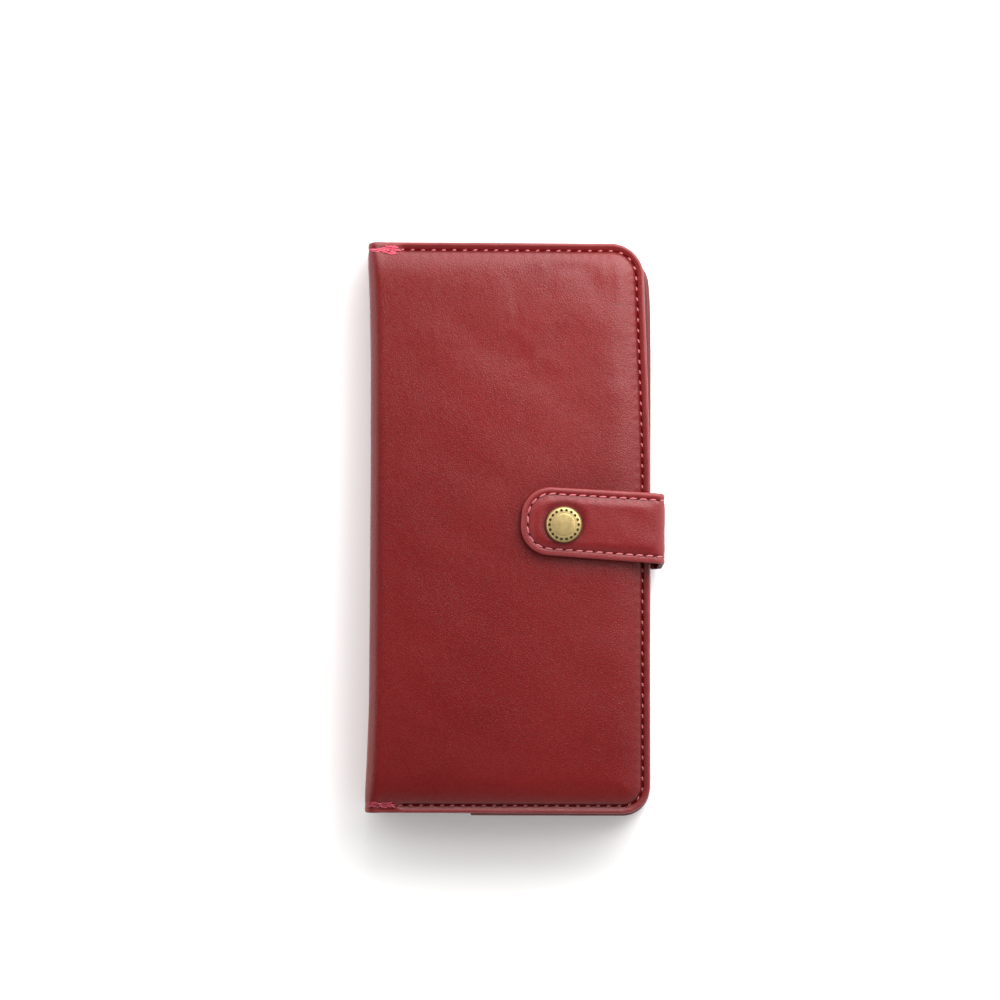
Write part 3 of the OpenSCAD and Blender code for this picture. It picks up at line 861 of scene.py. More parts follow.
class Puff:
    """Cloth simulation of the hide over its padding, kept as a height field."""

    def __init__(self, x: tuple[float, float], y: tuple[float, float], seed: int, step: float = 3.0,
                 most: float = 0.45) -> None:
        """Runs the simulation.

        Args:
            x: Span of the padded field.
            y: Span along the other way.
            seed: Seed of the first small unevenness.
            step: Cloth grid step.
            most: Furthest that the result may move the hide.
        """
        self.x = np.linspace(*x, int((x[1] - x[0]) / step) + 1)
        self.y = np.linspace(*y, int((y[1] - y[0]) / step) + 1)
        self.most = most
        self.height = np.zeros((len(self.x), len(self.y)))
        self._simulate(seed)

    def _simulate(self, seed: int) -> None:
        """Inflates a pinned sheet with a little spare hide and keeps its unevenness."""
        grid_x, grid_y = np.meshgrid(self.x, self.y, indexing="ij")
        start = 0.25 * ripple(grid_x, grid_y, seed, 32.0)
        number = np.arange(grid_x.size).reshape(grid_x.shape)
        places = np.stack([grid_x, grid_y, start], -1).reshape(-1, 3)
        sheet = mesh_object("puff_sheet", places, grid_quads(*grid_x.shape))
        rim = [int(n) for n in np.concatenate([number[0], number[-1], number[:, 0], number[:, -1]])]
        sheet.vertex_groups.new(name="seam").add(rim, 1.0, "REPLACE")
        cloth = sheet.modifiers.new("cloth", "CLOTH")
        settings = cloth.settings
        settings.quality = 7
        settings.mass = 0.5
        settings.tension_stiffness = settings.compression_stiffness = 30
        settings.shear_stiffness = 12
        settings.bending_stiffness = 1.2
        settings.vertex_group_mass = "seam"
        settings.shrink_min = -0.012
        settings.use_pressure = True
        settings.uniform_pressure_force = 1.5
        settings.effector_weights.gravity = 0.0
        cloth.point_cache.frame_start, cloth.point_cache.frame_end = 1, 20
        for number_of_frame in range(1, 21):
            bpy.context.scene.frame_set(number_of_frame)
        evaluated = sheet.evaluated_get(bpy.context.evaluated_depsgraph_get())
        places = np.empty(len(evaluated.data.vertices) * 3)
        evaluated.data.vertices.foreach_get("co", places)
        height = places.reshape(-1, 3)[:, 2].reshape(-1, len(self.y)) / MM
        bpy.context.scene.frame_set(1)
        bpy.data.objects.remove(sheet)
        uneven = height - self._blurred(height, 9)
        self.height = uneven * self.most / max(float(np.abs(uneven).max()), 1e-6)
        log.info("puff: %.2f to %.2f mm of unevenness", self.height.min(), self.height.max())

    @staticmethod
    def _blurred(field: Array, reach: int) -> Array:
        """A field averaged over a window, edges held."""
        kernel = np.hanning(2 * reach + 1)
        kernel /= kernel.sum()
        for axis in (0, 1):
            padded = np.pad(field, [(reach, reach) if a == axis else (0, 0) for a in (0, 1)], mode="edge")
            field = np.apply_along_axis(np.convolve, axis, padded, kernel, mode="valid")
        return field

    def at(self, x: Array, y: Array) -> Array:
        """The height at each place, by straight interpolation."""
        u = np.clip((x - self.x[0]) / (self.x[1] - self.x[0]), 0, len(self.x) - 1.001)
        v = np.clip((y - self.y[0]) / (self.y[1] - self.y[0]), 0, len(self.y) - 1.001)
        i, j = u.astype(int), v.astype(int)
        p, q = u - i, v - j
        h = self.height
        low = h[i, j] * (1 - p) + h[i + 1, j] * p
        high = h[i, j + 1] * (1 - p) + h[i + 1, j + 1] * p
        return low * (1 - q) + high * q


# ---------------------------------------------------------------- the covers' form

@dataclass(frozen=True)
class Wear:
    """How handling has pulled a cover out of square.

    spine and fore move those edges along X, as (Y, move) pairs from the low end to the top. The ends
    move along Y by a pair of numbers, at the spine and at the fore edge. step moves the low end once
    more from step_at on. tuck draws in the spine's low and top corner over the width of corner. spine_x
    is the spine's X and across the cover's width.
    """

    spine: tuple[tuple[float, float], ...]
    fore: tuple[tuple[float, float], ...]
    top: tuple[float, float]
    bottom: tuple[float, float]
    step_at: float = 0.0
    step: float = 0.0
    tuck: tuple[float, float] = (0.5, 1.4)
    spine_x: float = -47.5
    across: float = 95.0
    corner: float = 4.2

    @staticmethod
    def _eased(pairs: tuple[tuple[float, float], ...], y: Array) -> Array:
        """The pairs joined by a line with its corners eased."""
        fine = np.arange(-130.0, 131.0, 1.0)
        line = np.interp(fine, [p[0] for p in pairs], [p[1] for p in pairs])
        kernel = np.hanning(25)
        return np.interp(y, fine, np.convolve(np.pad(line, 12, mode="edge"), kernel / kernel.sum(), "valid"))

    def moved(self, places: Array) -> Array:
        """The places after the pull."""
        x, y, z = places[..., 0], places[..., 1], places[..., 2]
        near_spine = 1 - smooth((x - self.spine_x) / 26)
        near_fore = smooth((x - 2) / 38)
        across = np.clip((x - self.spine_x) / self.across, 0, 1)
        ends = np.where(y > 0, smooth(y / 95) * mixed(*self.top, across),
                        smooth(-y / 95) * mixed(*self.bottom, across))
        ends = ends + self.step * smooth((x - self.step_at) / 1.4) * smooth((-y - 70) / 22)
        from_corner = np.clip((x - self.spine_x) / self.corner, 0, 1)
        drawn = 1 - np.sqrt(1 - (1 - from_corner) ** 2)
        ends = ends - drawn * np.where(y > 0, self.tuck[1], -self.tuck[0]) * smooth((np.abs(y) - 72) / 23)
        return np.stack([x + near_spine * self._eased(self.spine, y) + near_fore * self._eased(self.fore, y),
                         y + ends, z], -1)


@dataclass
class CoverForm:
    """The form of one padded cover and its half of the spine, as one unrolled surface.

    The first coordinate is X over the cover, and runs on round the roll and along the spine. Heights
    are outward from the crown's plane.
    """

    side: Side
    wear: Wear
    fore: float
    spine: float
    end: float
    closed: float
    roll: float = 4.0
    hide: float = 1.2
    flange_drop: float = 2.3
    inner_drop: float = 4.5
    spine_drop: float = 0.4
    top_radius: float = 10.6
    bottom_radius: float = 9.4
    seam_inset: float = 2.6
    seam_pitch: float = 3.45
    seam_start: float = -35.6
    groove: float = 0.95
    pillow_run: float = 16.0
    pillow_power: float = 4.0
    pucker: float = 0.09
    unevenness: float = 0.10
    dimple: Optional[tuple[float, float]] = None
    dimple_drop: float = 1.4
    puff: Optional[Puff] = None

    @property
    def roll_start(self) -> float:
        """Where the cover's flat ends and the roll begins."""
        return self.spine + self.roll

    @property
    def low(self) -> float:
        """The unrolled coordinate of the spine's middle."""
        return self.roll_start - math.pi / 2 * self.roll - (self.closed / 2 - self.roll)

    def outline(self) -> Outline:
        """The unrolled cover's outline."""
        return Outline((self.low, self.fore), (-self.end, self.end),
                       (0.0, 0.0, self.bottom_radius, self.top_radius), (False, True, True, True))

    def seam(self) -> BorderSeam:
        """The border's stitch line."""
        return BorderSeam(self.seam_start, self.fore, self.end, self.seam_inset, self.top_radius,
                          self.bottom_radius)

    def bend(self, a: Array, b: Array, h: Array) -> Array:
        """Takes unrolled coordinates and heights to places."""
        turn = np.clip((self.roll_start - a) / self.roll, 0, math.pi / 2)
        down = np.clip(self.roll_start - math.pi / 2 * self.roll - a, 0, None)
        radius = self.roll + h
        x = np.where(a >= self.roll_start, a, self.roll_start - radius * np.sin(turn))
        z = np.where(a >= self.roll_start, self.closed + h,
                     self.closed - self.roll + radius * np.cos(turn) - down)
        if self.side is Side.BACK:
            z = self.closed - z
        return self.wear.moved(np.stack([x, b, z], -1))

    def on_cover(self, a: Array) -> Array:
        """0 on the spine, 1 on the cover, smooth over the roll."""
        return smooth((a - self.roll_start + 5) / 8)

    def crown(self, a: Array, b: Array) -> Array:
        """Height of the hide's outer face, before its edge is rounded."""
        inset = self.outline().inset(a, b)
        share = self.on_cover(a)
        drop = mixed(self.spine_drop, self.flange_drop, share)
        run = np.clip((inset - self.seam_inset - 0.3) / self.pillow_run, 0, 1)
        height = drop * (1 - (1 - run) ** self.pillow_power) - drop
        sewn = smooth((a - self.seam_start + 1.5) / 2)
        outer_wall = smooth((inset - 0.3) / (self.seam_inset - 0.1)) ** 0.8
        inner_wall = 1 - smooth((inset - self.seam_inset) / 0.9)
        height = height - self.groove * mixed(0.08, 1.0, sewn) * np.minimum(outer_wall, inner_wall)
        turns = 2 * math.pi * (self.seam().along(a, b) / self.pitch())
        pulled = self.pucker * np.cos(turns) * sewn * share
        height = height + pulled * (np.exp(-((inset - self.seam_inset - 1.3) / 0.9) ** 2)
                                    + 0.4 * np.exp(-((inset - 1.4) / 0.5) ** 2))
        field = smooth((inset - 4) / 6) * smooth((a - self.roll_start) / 14)
        if self.puff is not None:
            height = height + field * self._slack(a, b) * self.puff.at(a, b)
        height = height + self.unevenness * field * ripple(a, b, 11, 26.0)
        if self.dimple is not None:
            far = np.hypot(a - self.dimple[0], b - self.dimple[1])
            height = mixed(-self.dimple_drop, height, smooth((far - 5.2) / 6.0))
        if self.side is Side.BACK:
            height = np.minimum(height, 0.0)
        return height

    @staticmethod
    def _slack(a: Array, b: Array) -> Array:
        """How loose the hide is: most at the top end and towards the fore edge."""
        return mixed(0.25, 1.0, smooth((b - 25) / 55) * smooth((a + 30) / 50))

    def pitch(self) -> float:
        """The seam's pitch, evened so that whole stitches fill it."""
        total = sum(self.seam().lengths())
        return total / round(total / self.seam_pitch)

    def skins(self, a: Array, b: Array) -> tuple[Array, Array]:
        """Heights of the hide's outer and inner face."""
        inset = self.outline().inset(a, b)
        top = self.crown(a, b)
        border = -mixed(self.hide, self.inner_drop, self.on_cover(a))
        under = mixed(border, top - self.hide, smooth((inset - 3.5) / 1.1))
        return rounded_edges(inset, top, np.minimum(under, top - 0.5), 1.1)

    def lines(self, step: float) -> tuple[Array, Array]:
        """Grid lines: close together at the border, even in the middle."""
        close = (0.0, 0.05, 0.18, 0.4, 0.7, 1.1, 1.5, 1.9, 2.25, 2.6, 2.95, 3.35, 3.8, 4.3, 4.9, 5.6, 6.4,
                 7.2)
        return (spaced(self.low, self.fore, step, (0.0,), close),
                spaced(-self.end, self.end, step, close, close))

    def surface(self, a: Array, b: Array, lift: float = 0.0) -> tuple[Array, Array]:
        """Places on the outer face and the outward directions there.

        Args:
            a: Unrolled coordinates.
            b: Y coordinates.
            lift: Height above the face.

        Returns:
            The places and unit normals.
        """
        height = self.crown(a, b) + lift
        here = self.bend(a, b, height)
        reach = 0.3
        ahead = self.bend(a + reach, b, self.crown(a + reach, b) + lift) - here
        aside = self.bend(a, b + reach, self.crown(a, b + reach) + lift) - here
        normal = np.cross(ahead, aside)
        if self.side is Side.BACK:
            normal = -normal
        return here, normal / np.linalg.norm(normal, axis=-1, keepdims=True)


class Cover:
    """One padded cover: hide, foam, board, stitching and lining."""

    STEP = 0.8625
    FACE_HINGE = ((-47.0, 17.4), (-43.0, 22.0))
    LINING_HINGE = ((-46.2, 15.0), (-41.5, 18.9))

    def __init__(self, form: CoverForm, finishes: Finishes, seams: SeamRun) -> None:
        """Keeps the cover's form and what dresses it."""
        self.form, self.finishes, self.seams = form, finishes, seams
        self.side = form.side.value

    def _across_hinge(self, made: bpy.types.Object) -> None:
        """Bakes a piece's transform into its mesh, on either side."""
        if self.form.side is Side.FRONT:
            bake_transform(made)
        else:
            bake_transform(made)

    def hide(self) -> bpy.types.Object:
        """The leather face with its turned edge and its half of the spine."""
        form = self.form
        x_lines, y_lines = form.lines(self.STEP)
        a, b = form.outline().grid(x_lines, y_lines)
        top, bottom = form.skins(a, b)
        inset = form.outline().inset(a, b)
        cover = form.on_cover(a)
        worn = 0.5 + 0.5 * ripple(a, b, 5, 14.0)
        # Paler rim along the turned edge: partly worn edge finish, partly painted highlight.
        rim = np.exp(-((inset - 0.55) / 0.5) ** 2) * (0.45 + 0.4 * np.clip(worn, 0, 1))
        # Painted reflection: a paler band on the outside of the spine's roll.
        painted_roll_highlight = np.exp(-((a - form.roll_start + 5.6) / 1.5) ** 2)
        groove = np.exp(-((inset - form.seam_inset - 0.35) / 0.55) ** 2) * smooth((a - form.seam_start) / 2)
        # Painted shade in the stitch groove and where the hide turns over onto the spine.
        fold = 0.75 * groove + 0.5 * np.exp(-((a - form.roll_start + 1.8) / 1.6) ** 2)
        # On the back: a weaker painted rim highlight, and painted shade on the flange that lies under the
        # front's flange.
        if form.side is Side.BACK:
            rim, fold = 0.3 * rim, np.maximum(fold, 0.5 * smooth((2.6 - inset) / 0.8))
        made = layer(self.side + "_hide", a, b, top, bottom, form.bend,
                     {"rim": np.clip(rim + 0.12 * painted_roll_highlight, 0, 1),
                      "fold": np.clip(fold, 0, 1) * (0.4 + 0.6 * cover)})
        dress(made, self.finishes.hide)
        self._across_hinge(made)
        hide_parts(self.side + "_outer_leather", "spine_leather")
        return made

    def foam(self) -> bpy.types.Object:
        """The foam sheet under the hide."""
        form = self.form
        low, high = box_mm(self.side + "_padding")
        outline = Outline((max(low[0], form.roll_start + 0.1), high[0] - 0.2), (low[1] + 0.2, high[1] - 0.2),
                          (2, 2, 5, 5))
        near = (0.0, 0.15, 0.5, 1.0, 1.7)
        a, b = outline.grid(spaced(*outline.x, 2.2, near, near), spaced(*outline.y, 2.2, near, near))
        under = form.skins(a, b)[1] - 0.06
        bottom = np.full(a.shape, -3.5)
        top, bottom = rounded_edges(outline.inset(a, b), np.maximum(under, bottom + 0.2), bottom, 0.7)
        made = layer(self.side + "_foam", a, b, top, bottom, form.bend)
        dress(made, self.finishes.foam)
        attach(made, self.side)
        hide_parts(self.side + "_padding")
        return made

    def board(self) -> bpy.types.Object:
        """The stiff board between foam and lining, its edges eased."""
        form = self.form
        low, high = box_mm(self.side + "_board")
        outline = Outline((form.roll_start + 0.1, high[0] - 0.2), (low[1] + 0.2, high[1] - 0.2),
                          (1.5, 1.5, 5, 5))
        near = (0.0, 0.1, 0.3, 0.6)
        a, b = outline.grid(spaced(*outline.x, 6, near, near), spaced(*outline.y, 6, near, near))
        top, bottom = rounded_edges(outline.inset(a, b), np.full(a.shape, -3.54),
                                    np.full(a.shape, -4.46), 0.3)
        made = layer(self.side + "_stiffener", a, b, top, bottom, form.bend)
        dress(made, self.finishes.board)
        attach(made, self.side)
        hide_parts(self.side + "_board")
        return made

    def lining(self) -> bpy.types.Object:
        """The twill lining, from the fore edge over the hinge to the middle of the spine."""
        form = self.form
        low, high = box_mm(self.side + "_lining")
        thick, corner, turned = 0.8, 1.8, 2.2
        turn_at = form.spine + form.hide + corner
        half = form.closed / 2
        inner = form.closed - form.inner_drop
        run = inner - corner - half
        start = turn_at - math.pi / 2 * corner - run

        def bend(a: Array, b: Array, h: Array) -> Array:
            """Takes the lining's unrolled coordinates to places, round the inside of the hinge."""
            turn = np.clip((turn_at - a) / corner, 0, math.pi / 2)
            down = np.clip(turn_at - math.pi / 2 * corner - a, 0, None)
            radius = corner + h
            x = np.where(a >= turn_at, a, turn_at - radius * np.sin(turn))
            z = np.where(a >= turn_at, inner + h, inner - corner + radius * np.cos(turn) - down)
            if form.side is Side.BACK:
                z = form.closed - z
            return form.wear.moved(np.stack([x, b, z], -1))

        outline = Outline((start, high[0] - turned), (low[1] + turned, high[1] - turned), (0, 0, 6, 7),
                          (False, True, True, True))
        near = (0.0, 0.08, 0.25, 0.5, 0.9, 1.5)
        a, b = outline.grid(spaced(*outline.x, 1.4, (0.0,), near), spaced(*outline.y, 1.4, near, near))
        slack = 0.05 * ripple(a, b, 8, 18.0) - 0.06
        inset = outline.inset(a, b)
        top, bottom = rounded_edges(inset, slack, slack - thick + 0.12, 0.35)
        made = layer(self.side + "_lining_cloth", a, b, top, bottom, bend)
        dress(made, self.finishes.lining)
        self._across_hinge(made)
        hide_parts(self.side + "_lining", "spine_lining")
        return made

    def stitching(self) -> list[bpy.types.Object]:
        """The border's thread, and dark pieces of painted shade for the needle holes between the stitches."""
        form, pitch = self.form, self.form.pitch()
        x, y = form.seam().path()
        cut = int(pitch / 2 / 0.5)
        place, up = form.surface(x, y, 0.10)
        threads = self.seams.run(self.side + "_border_thread", place, up,
                                 RunStyle(pitch, 1.5, 0.6, 0.55, slant=10.0, loose=0.06, stray=7.0, seed=4),
                                 self.finishes.thread)
        sunk, up = form.surface(x[cut:-cut], y[cut:-cut], 0.04)
        holes = self.seams.run(self.side + "_needle_holes", sunk, up,
                               RunStyle(pitch, 3.3, 1.2, 0.5, slant=5.0, loose=0.07, stray=6.0, seed=9,
                                        segments=8),
                               self.finishes.hole)
        for made in (threads, holes):
            self._across_hinge(made)
        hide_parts(self.side + "_stitching")
        return [threads, holes]

    def build(self) -> list[bpy.types.Object]:
        """Builds the whole cover."""
        return [self.hide(), self.foam(), self.board(), self.lining(), *self.stitching()]


class BarTacks:
    """Dense overlapping stitches that lock both ends of the front's border seam."""

    def __init__(self, form: CoverForm, finishes: Finishes, seams: SeamRun) -> None:
        """Keeps what the tacks lie on and what dresses them."""
        self.form, self.finishes, self.seams = form, finishes, seams

    def _strands(self, end: int, count: int, spread: float) -> list[Array]:
        """Wandering strands of one tack, in unrolled coordinates: thin at the spine, fanned out past it."""
        rng = np.random.default_rng(20 + end)
        low, high = box_mm("front_bar_tacks")
        seam = self.form.end - self.form.seam_inset - 0.1
        strands = []
        for k in range(count):
            share = 2 * k / (count - 1) - 1
            first = low[0] - 1.9 + (4.4 if k % 2 else 0.0) + rng.uniform(0, 2.0)
            x = np.arange(first, high[0] - 0.3 - rng.uniform(0, 1.4) - 1.0 * abs(share), 0.3)
            fan = 0.45 + spread * np.exp(-((x - high[0] + 3.0) / 2.2) ** 2)
            wave = 0.14 * np.sin(x * rng.uniform(1.1, 2.4) + k) + rng.uniform(-0.12, 0.12)
            strands.append(np.stack([x, end * (seam + share * fan + wave)], -1))
        return strands

    def build(self) -> list[bpy.types.Object]:
        """Both tacks, as overlapping threads with loose twists: a bright one and a darker one."""
        pieces = []
        tacks = ((1, 8, 0.8, 0.56, self.finishes.tack), (-1, 5, 0.12, 0.5, self.finishes.darker_tack))
        for end, count, spread, width, material in tacks:
            for k, path in enumerate(self._strands(end, count, spread)):
                place, up = self.form.surface(path[:, 0], path[:, 1], 0.14 + 0.1 * (k % 2))
                thick = width * (1.0 if k % 2 else 0.72)
                style = RunStyle(1.25, 2.1, thick, 0.9 * thick, slant=13.0 * (-1) ** k, loose=0.18,
                                 stray=20.0, seed=31 + k)
                name = f"tack_{'top' if end > 0 else 'low'}_{k}"
                pieces.append(self.seams.run(name, place, up, style, material))
        made = joined("front_lock_tacks", pieces)
        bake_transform(made)
        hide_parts("front_bar_tacks")
        return [made]


# ---------------------------------------------------------------- inside

class PhonePocket:
    """The pocket on the back cover's inside: a gusset round three sides and a panel with a thumb notch."""

    def __init__(self, finishes: Finishes, seams: SeamRun, notch: float = 12.0, corner: float = 6.0) -> None:
        """Keeps the finishes and the pocket's few own sizes."""
        self.finishes, self.seams, self.notch, self.corner = finishes, seams, notch, corner

    def _edge(self, x: Array, low: Array, high: Array) -> Array:
        """Y of the panel's mouth at each X, with the thumb notch in its middle."""
        middle = (low[0] + high[0]) / 2
        across = np.clip(np.abs(x - middle) / self.notch, 0, 1)
        return high[1] - self.notch * np.sqrt(np.maximum(1 - across ** 2, 0))

    def panel(self) -> bpy.types.Object:
        """The leather panel over the phone."""
        low, high = box_mm("phone_pocket_panel")
        middle = (low[0] + high[0]) / 2
        outline = Outline((low[0], high[0]), (low[1], high[1]), (self.corner, 2.0, self.corner, 2.0))
        near = (0.0, 0.06, 0.2, 0.45, 0.8, 1.2, 1.7, 2.3)
        arc = middle + self.notch * np.sin(np.linspace(-math.pi / 2, math.pi / 2, 33))
        sides = [spaced(low[0], arc[0], 1.5, near), spaced(arc[-1], high[0], 1.5, (0.0,), near)]
        x_lines = np.unique(np.concatenate([sides[0], arc, sides[1]]).round(4))
        x, y = outline.grid(x_lines, spaced(low[1], high[1], 1.5, near, near))
        pulled = y - smooth((y - high[1] + 36) / 36) * (high[1] - self._edge(x, low, high))
        to_notch = np.abs(np.hypot(x - middle, pulled - high[1]) - self.notch)
        inset = np.minimum(outline.inset(x, y), np.where(y > high[1] - 30, to_notch, 1e3))
        wave = 0.05 * ripple(x, y, 17, 30.0) * smooth(inset / 8)
        crease = -0.12 * np.exp(-((inset - 1.5) / 0.35) ** 2)
        thick = high[2] - low[2]
        top, bottom = rounded_edges(inset, wave - 0.06 + crease, np.full(x.shape, -thick), 0.42)
        # Paler rim: partly the edge's own finish, partly painted highlight.
        rim = np.exp(-(inset / 0.5) ** 2)
        # The attribute set below also puts painted shade in the crease 1.5 mm inside the edge.
        made = layer("phone_panel", x, pulled, top, bottom,
                     lifted(high[2]),
                     {"rim": 0.7 * rim, "fold": 0.6 * np.exp(-((inset - 1.5) / 0.4) ** 2)})
        dress(made, self.finishes.pocket)
        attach(made, "back")
        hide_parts("phone_pocket_panel")
        return made

    def gusset(self) -> bpy.types.Object:
        """The wall round the pocket's three closed sides, bowed in a little between its seams."""
        low, high = box_mm("phone_pocket_gusset")
        radius = self.corner
        straight, arc, across = high[1] - low[1] - radius, math.pi / 2 * radius, high[0] - low[0] - 2 * radius
        total = 2 * straight + 2 * arc + across

        def bend(s: Array, z: Array, h: Array) -> Array:
            """Takes length along the wall, height and outward offset to places."""
            first = np.clip((s - straight) / radius, 0, math.pi / 2)
            second = np.clip((s - straight - arc - across) / radius, 0, math.pi / 2)
            run = np.clip(s - straight - arc, 0, across)
            up = np.clip(s - straight - 2 * arc - across, 0, None)
            turn = first + second
            x = low[0] + radius * (1 - np.cos(first)) + run + radius * np.sin(second) - h * np.cos(turn)
            bent = radius * (1 - np.cos(second)) - radius * np.sin(first)
            y = high[1] - np.minimum(s, straight) + bent + up - h * np.sin(turn)
            return np.stack([x, y, z], -1)

        near = (0.0, 0.08, 0.25, 0.5)
        s, z = np.meshgrid(spaced(0, total, 1.5, near, near), spaced(low[2], high[2], 0.9, near, near),
                           indexing="ij")
        inset = np.minimum(np.minimum(s, total - s), np.minimum(z - low[2], high[2] - z))
        bow = -0.55 * np.sin(np.clip((z - low[2]) / (high[2] - low[2]), 0, 1) * math.pi) ** 2
        bow = bow * (1 + 0.3 * ripple(s, z * 0.4, 6, 22.0)) - 0.05
        top, bottom = rounded_edges(inset, bow, bow - 0.85, 0.3)
        # Paler rim: partly the edge's own finish, partly painted highlight.
        made = layer("phone_gusset", s, z, top, bottom, bend, {"rim": 0.5 * np.exp(-(inset / 0.4) ** 2)})
        dress(made, self.finishes.pocket)
        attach(made, "back")
        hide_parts("phone_pocket_gusset")
        return made

    def seam(self) -> bpy.types.Object:
        """The stitches that hold the panel to the gusset."""
        low, high = box_mm("phone_pocket_panel")
        inset, radius = 1.5, self.corner - 1.5
        x0, x1, y0, y1 = low[0] + inset, high[0] - inset, low[1] + inset, high[1] - 3
        turn = np.linspace(0, math.pi / 2, 12)[1:-1]
        down = np.stack([np.full(90, x0), np.linspace(y1, y0 + radius, 90)], -1)
        first = np.stack([x0 + radius * (1 - np.cos(turn)), y0 + radius * (1 - np.sin(turn))], -1)
        across = np.stack([np.linspace(x0 + radius, x1 - radius, 60), np.full(60, y0)], -1)
        path = np.concatenate([down, first, across, (first * [-1, 1] + [x0 + x1, 0])[::-1],
                               (down * [-1, 1] + [x0 + x1, 0])[::-1]])
        place = np.concatenate([path, np.full((len(path), 1), high[2] - 0.06)], -1)
        up = np.tile([0.0, 0.0, 1.0], (len(path), 1))
        made = self.seams.run("phone_pocket_thread", place, up,
                              RunStyle(3.1, 2.3, 0.5, 0.36, slant=4.0, loose=0.03, seed=5, segments=8),
                              self.finishes.thread)
        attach(made, "back")
        return made

    def build(self) -> list[bpy.types.Object]:
        """Builds the pocket."""
        return [self.panel(), self.gusset(), self.seam()]


class CardSlots:
    """The note pocket and the stepped card slots on the front cover's inside."""

    NODES = ("note_pocket", "card_pocket_1", "card_pocket_2", "card_pocket_3", "card_pocket_4")

    def __init__(self, finishes: Finishes, seams: SeamRun) -> None:
        """Keeps the finishes."""
        self.finishes, self.seams = finishes, seams

    def leaf(self, number: int) -> bpy.types.Object:
        """One leaf, its mouth edge turned and creased."""
        node = self.NODES[number]
        low, high = box_mm(node)
        outline = Outline((low[0], high[0]), (low[1], high[1]), (2.0, 2.0, 5.0, 5.0))
        near, far = (0.0, 0.05, 0.16, 0.35, 0.7, 1.2, 1.6, 2.0, 2.6), (0.0, 0.05, 0.16, 0.35, 0.8)
        x, y = outline.grid(spaced(low[0], high[0], 2.0, near, far), spaced(low[1], high[1], 2.0, far, far))
        inset = outline.inset(x, y)
        from_mouth = x - low[0]
        wave = 0.03 * ripple(x, y, 40 + number, 34.0) * smooth(inset / 6)
        crease = 0.1 * np.exp(-((from_mouth - 1.6) / 0.3) ** 2) * smooth((inset - 0.3) / 0.5)
        thick = high[2] - low[2] - 0.03
        face = np.full(x.shape, -thick) + np.abs(wave) + crease + 0.02
        top, bottom = rounded_edges(inset, np.full(x.shape, -0.02), face, 0.26)
        # Paler mouth edge: partly its own finish, partly painted highlight; painted shade in the mouth's
        # crease.
        made = layer(f"{node}_leaf", x, y, top, bottom, lifted(high[2]),
                     {"rim": 0.55 * np.exp(-(from_mouth / 0.6) ** 2),
                      "fold": 0.6 * np.exp(-((from_mouth - 1.6) / 0.35) ** 2)})
        dress(made, self.finishes.pocket)
        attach(made, "front")
        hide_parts(node)
        return made

    def seam(self) -> bpy.types.Object:
        """The stitches along the slots' closed sides, stepping with the leaves."""
        boxes = [box_mm(node) for node in self.NODES]
        mouths, faces = [b[0][0] for b in boxes], [b[0][2] for b in boxes]
        high = boxes[0][1]
        runs = []
        for end in (1, -1):
            for k, mouth in enumerate(mouths):
                stop = mouths[k + 1] if k + 1 < len(mouths) else high[0] - 4
                x = np.linspace(mouth + 1.2, stop - 0.9, 20)
                place = np.stack([x, np.full(20, end * (high[1] - 1.8)), np.full(20, faces[k] + 0.02)], -1)
                runs.append(place)
        y = np.linspace(-high[1] + 4.5, high[1] - 4.5, 160)
        runs.append(np.stack([np.full(160, high[0] - 1.8), y, np.full(160, faces[-1] + 0.02)], -1))
        pieces = [self.seams.run(f"slot_run_{k}", run, np.tile([0.0, 0.0, -1.0], (len(run), 1)),
                                 RunStyle(2.9, 2.1, 0.45, 0.3, slant=4.0, loose=0.03, seed=50 + k,
                                          segments=8),
                                 self.finishes.thread) for k, run in enumerate(runs)]
        made = joined("card_slot_thread", pieces)
        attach(made, "front")
        return made

    def build(self) -> list[bpy.types.Object]:
        """Builds every leaf and the seam."""
        return [self.leaf(k) for k in range(len(self.NODES))] + [self.seam()]


# ---------------------------------------------------------------- strap and snap

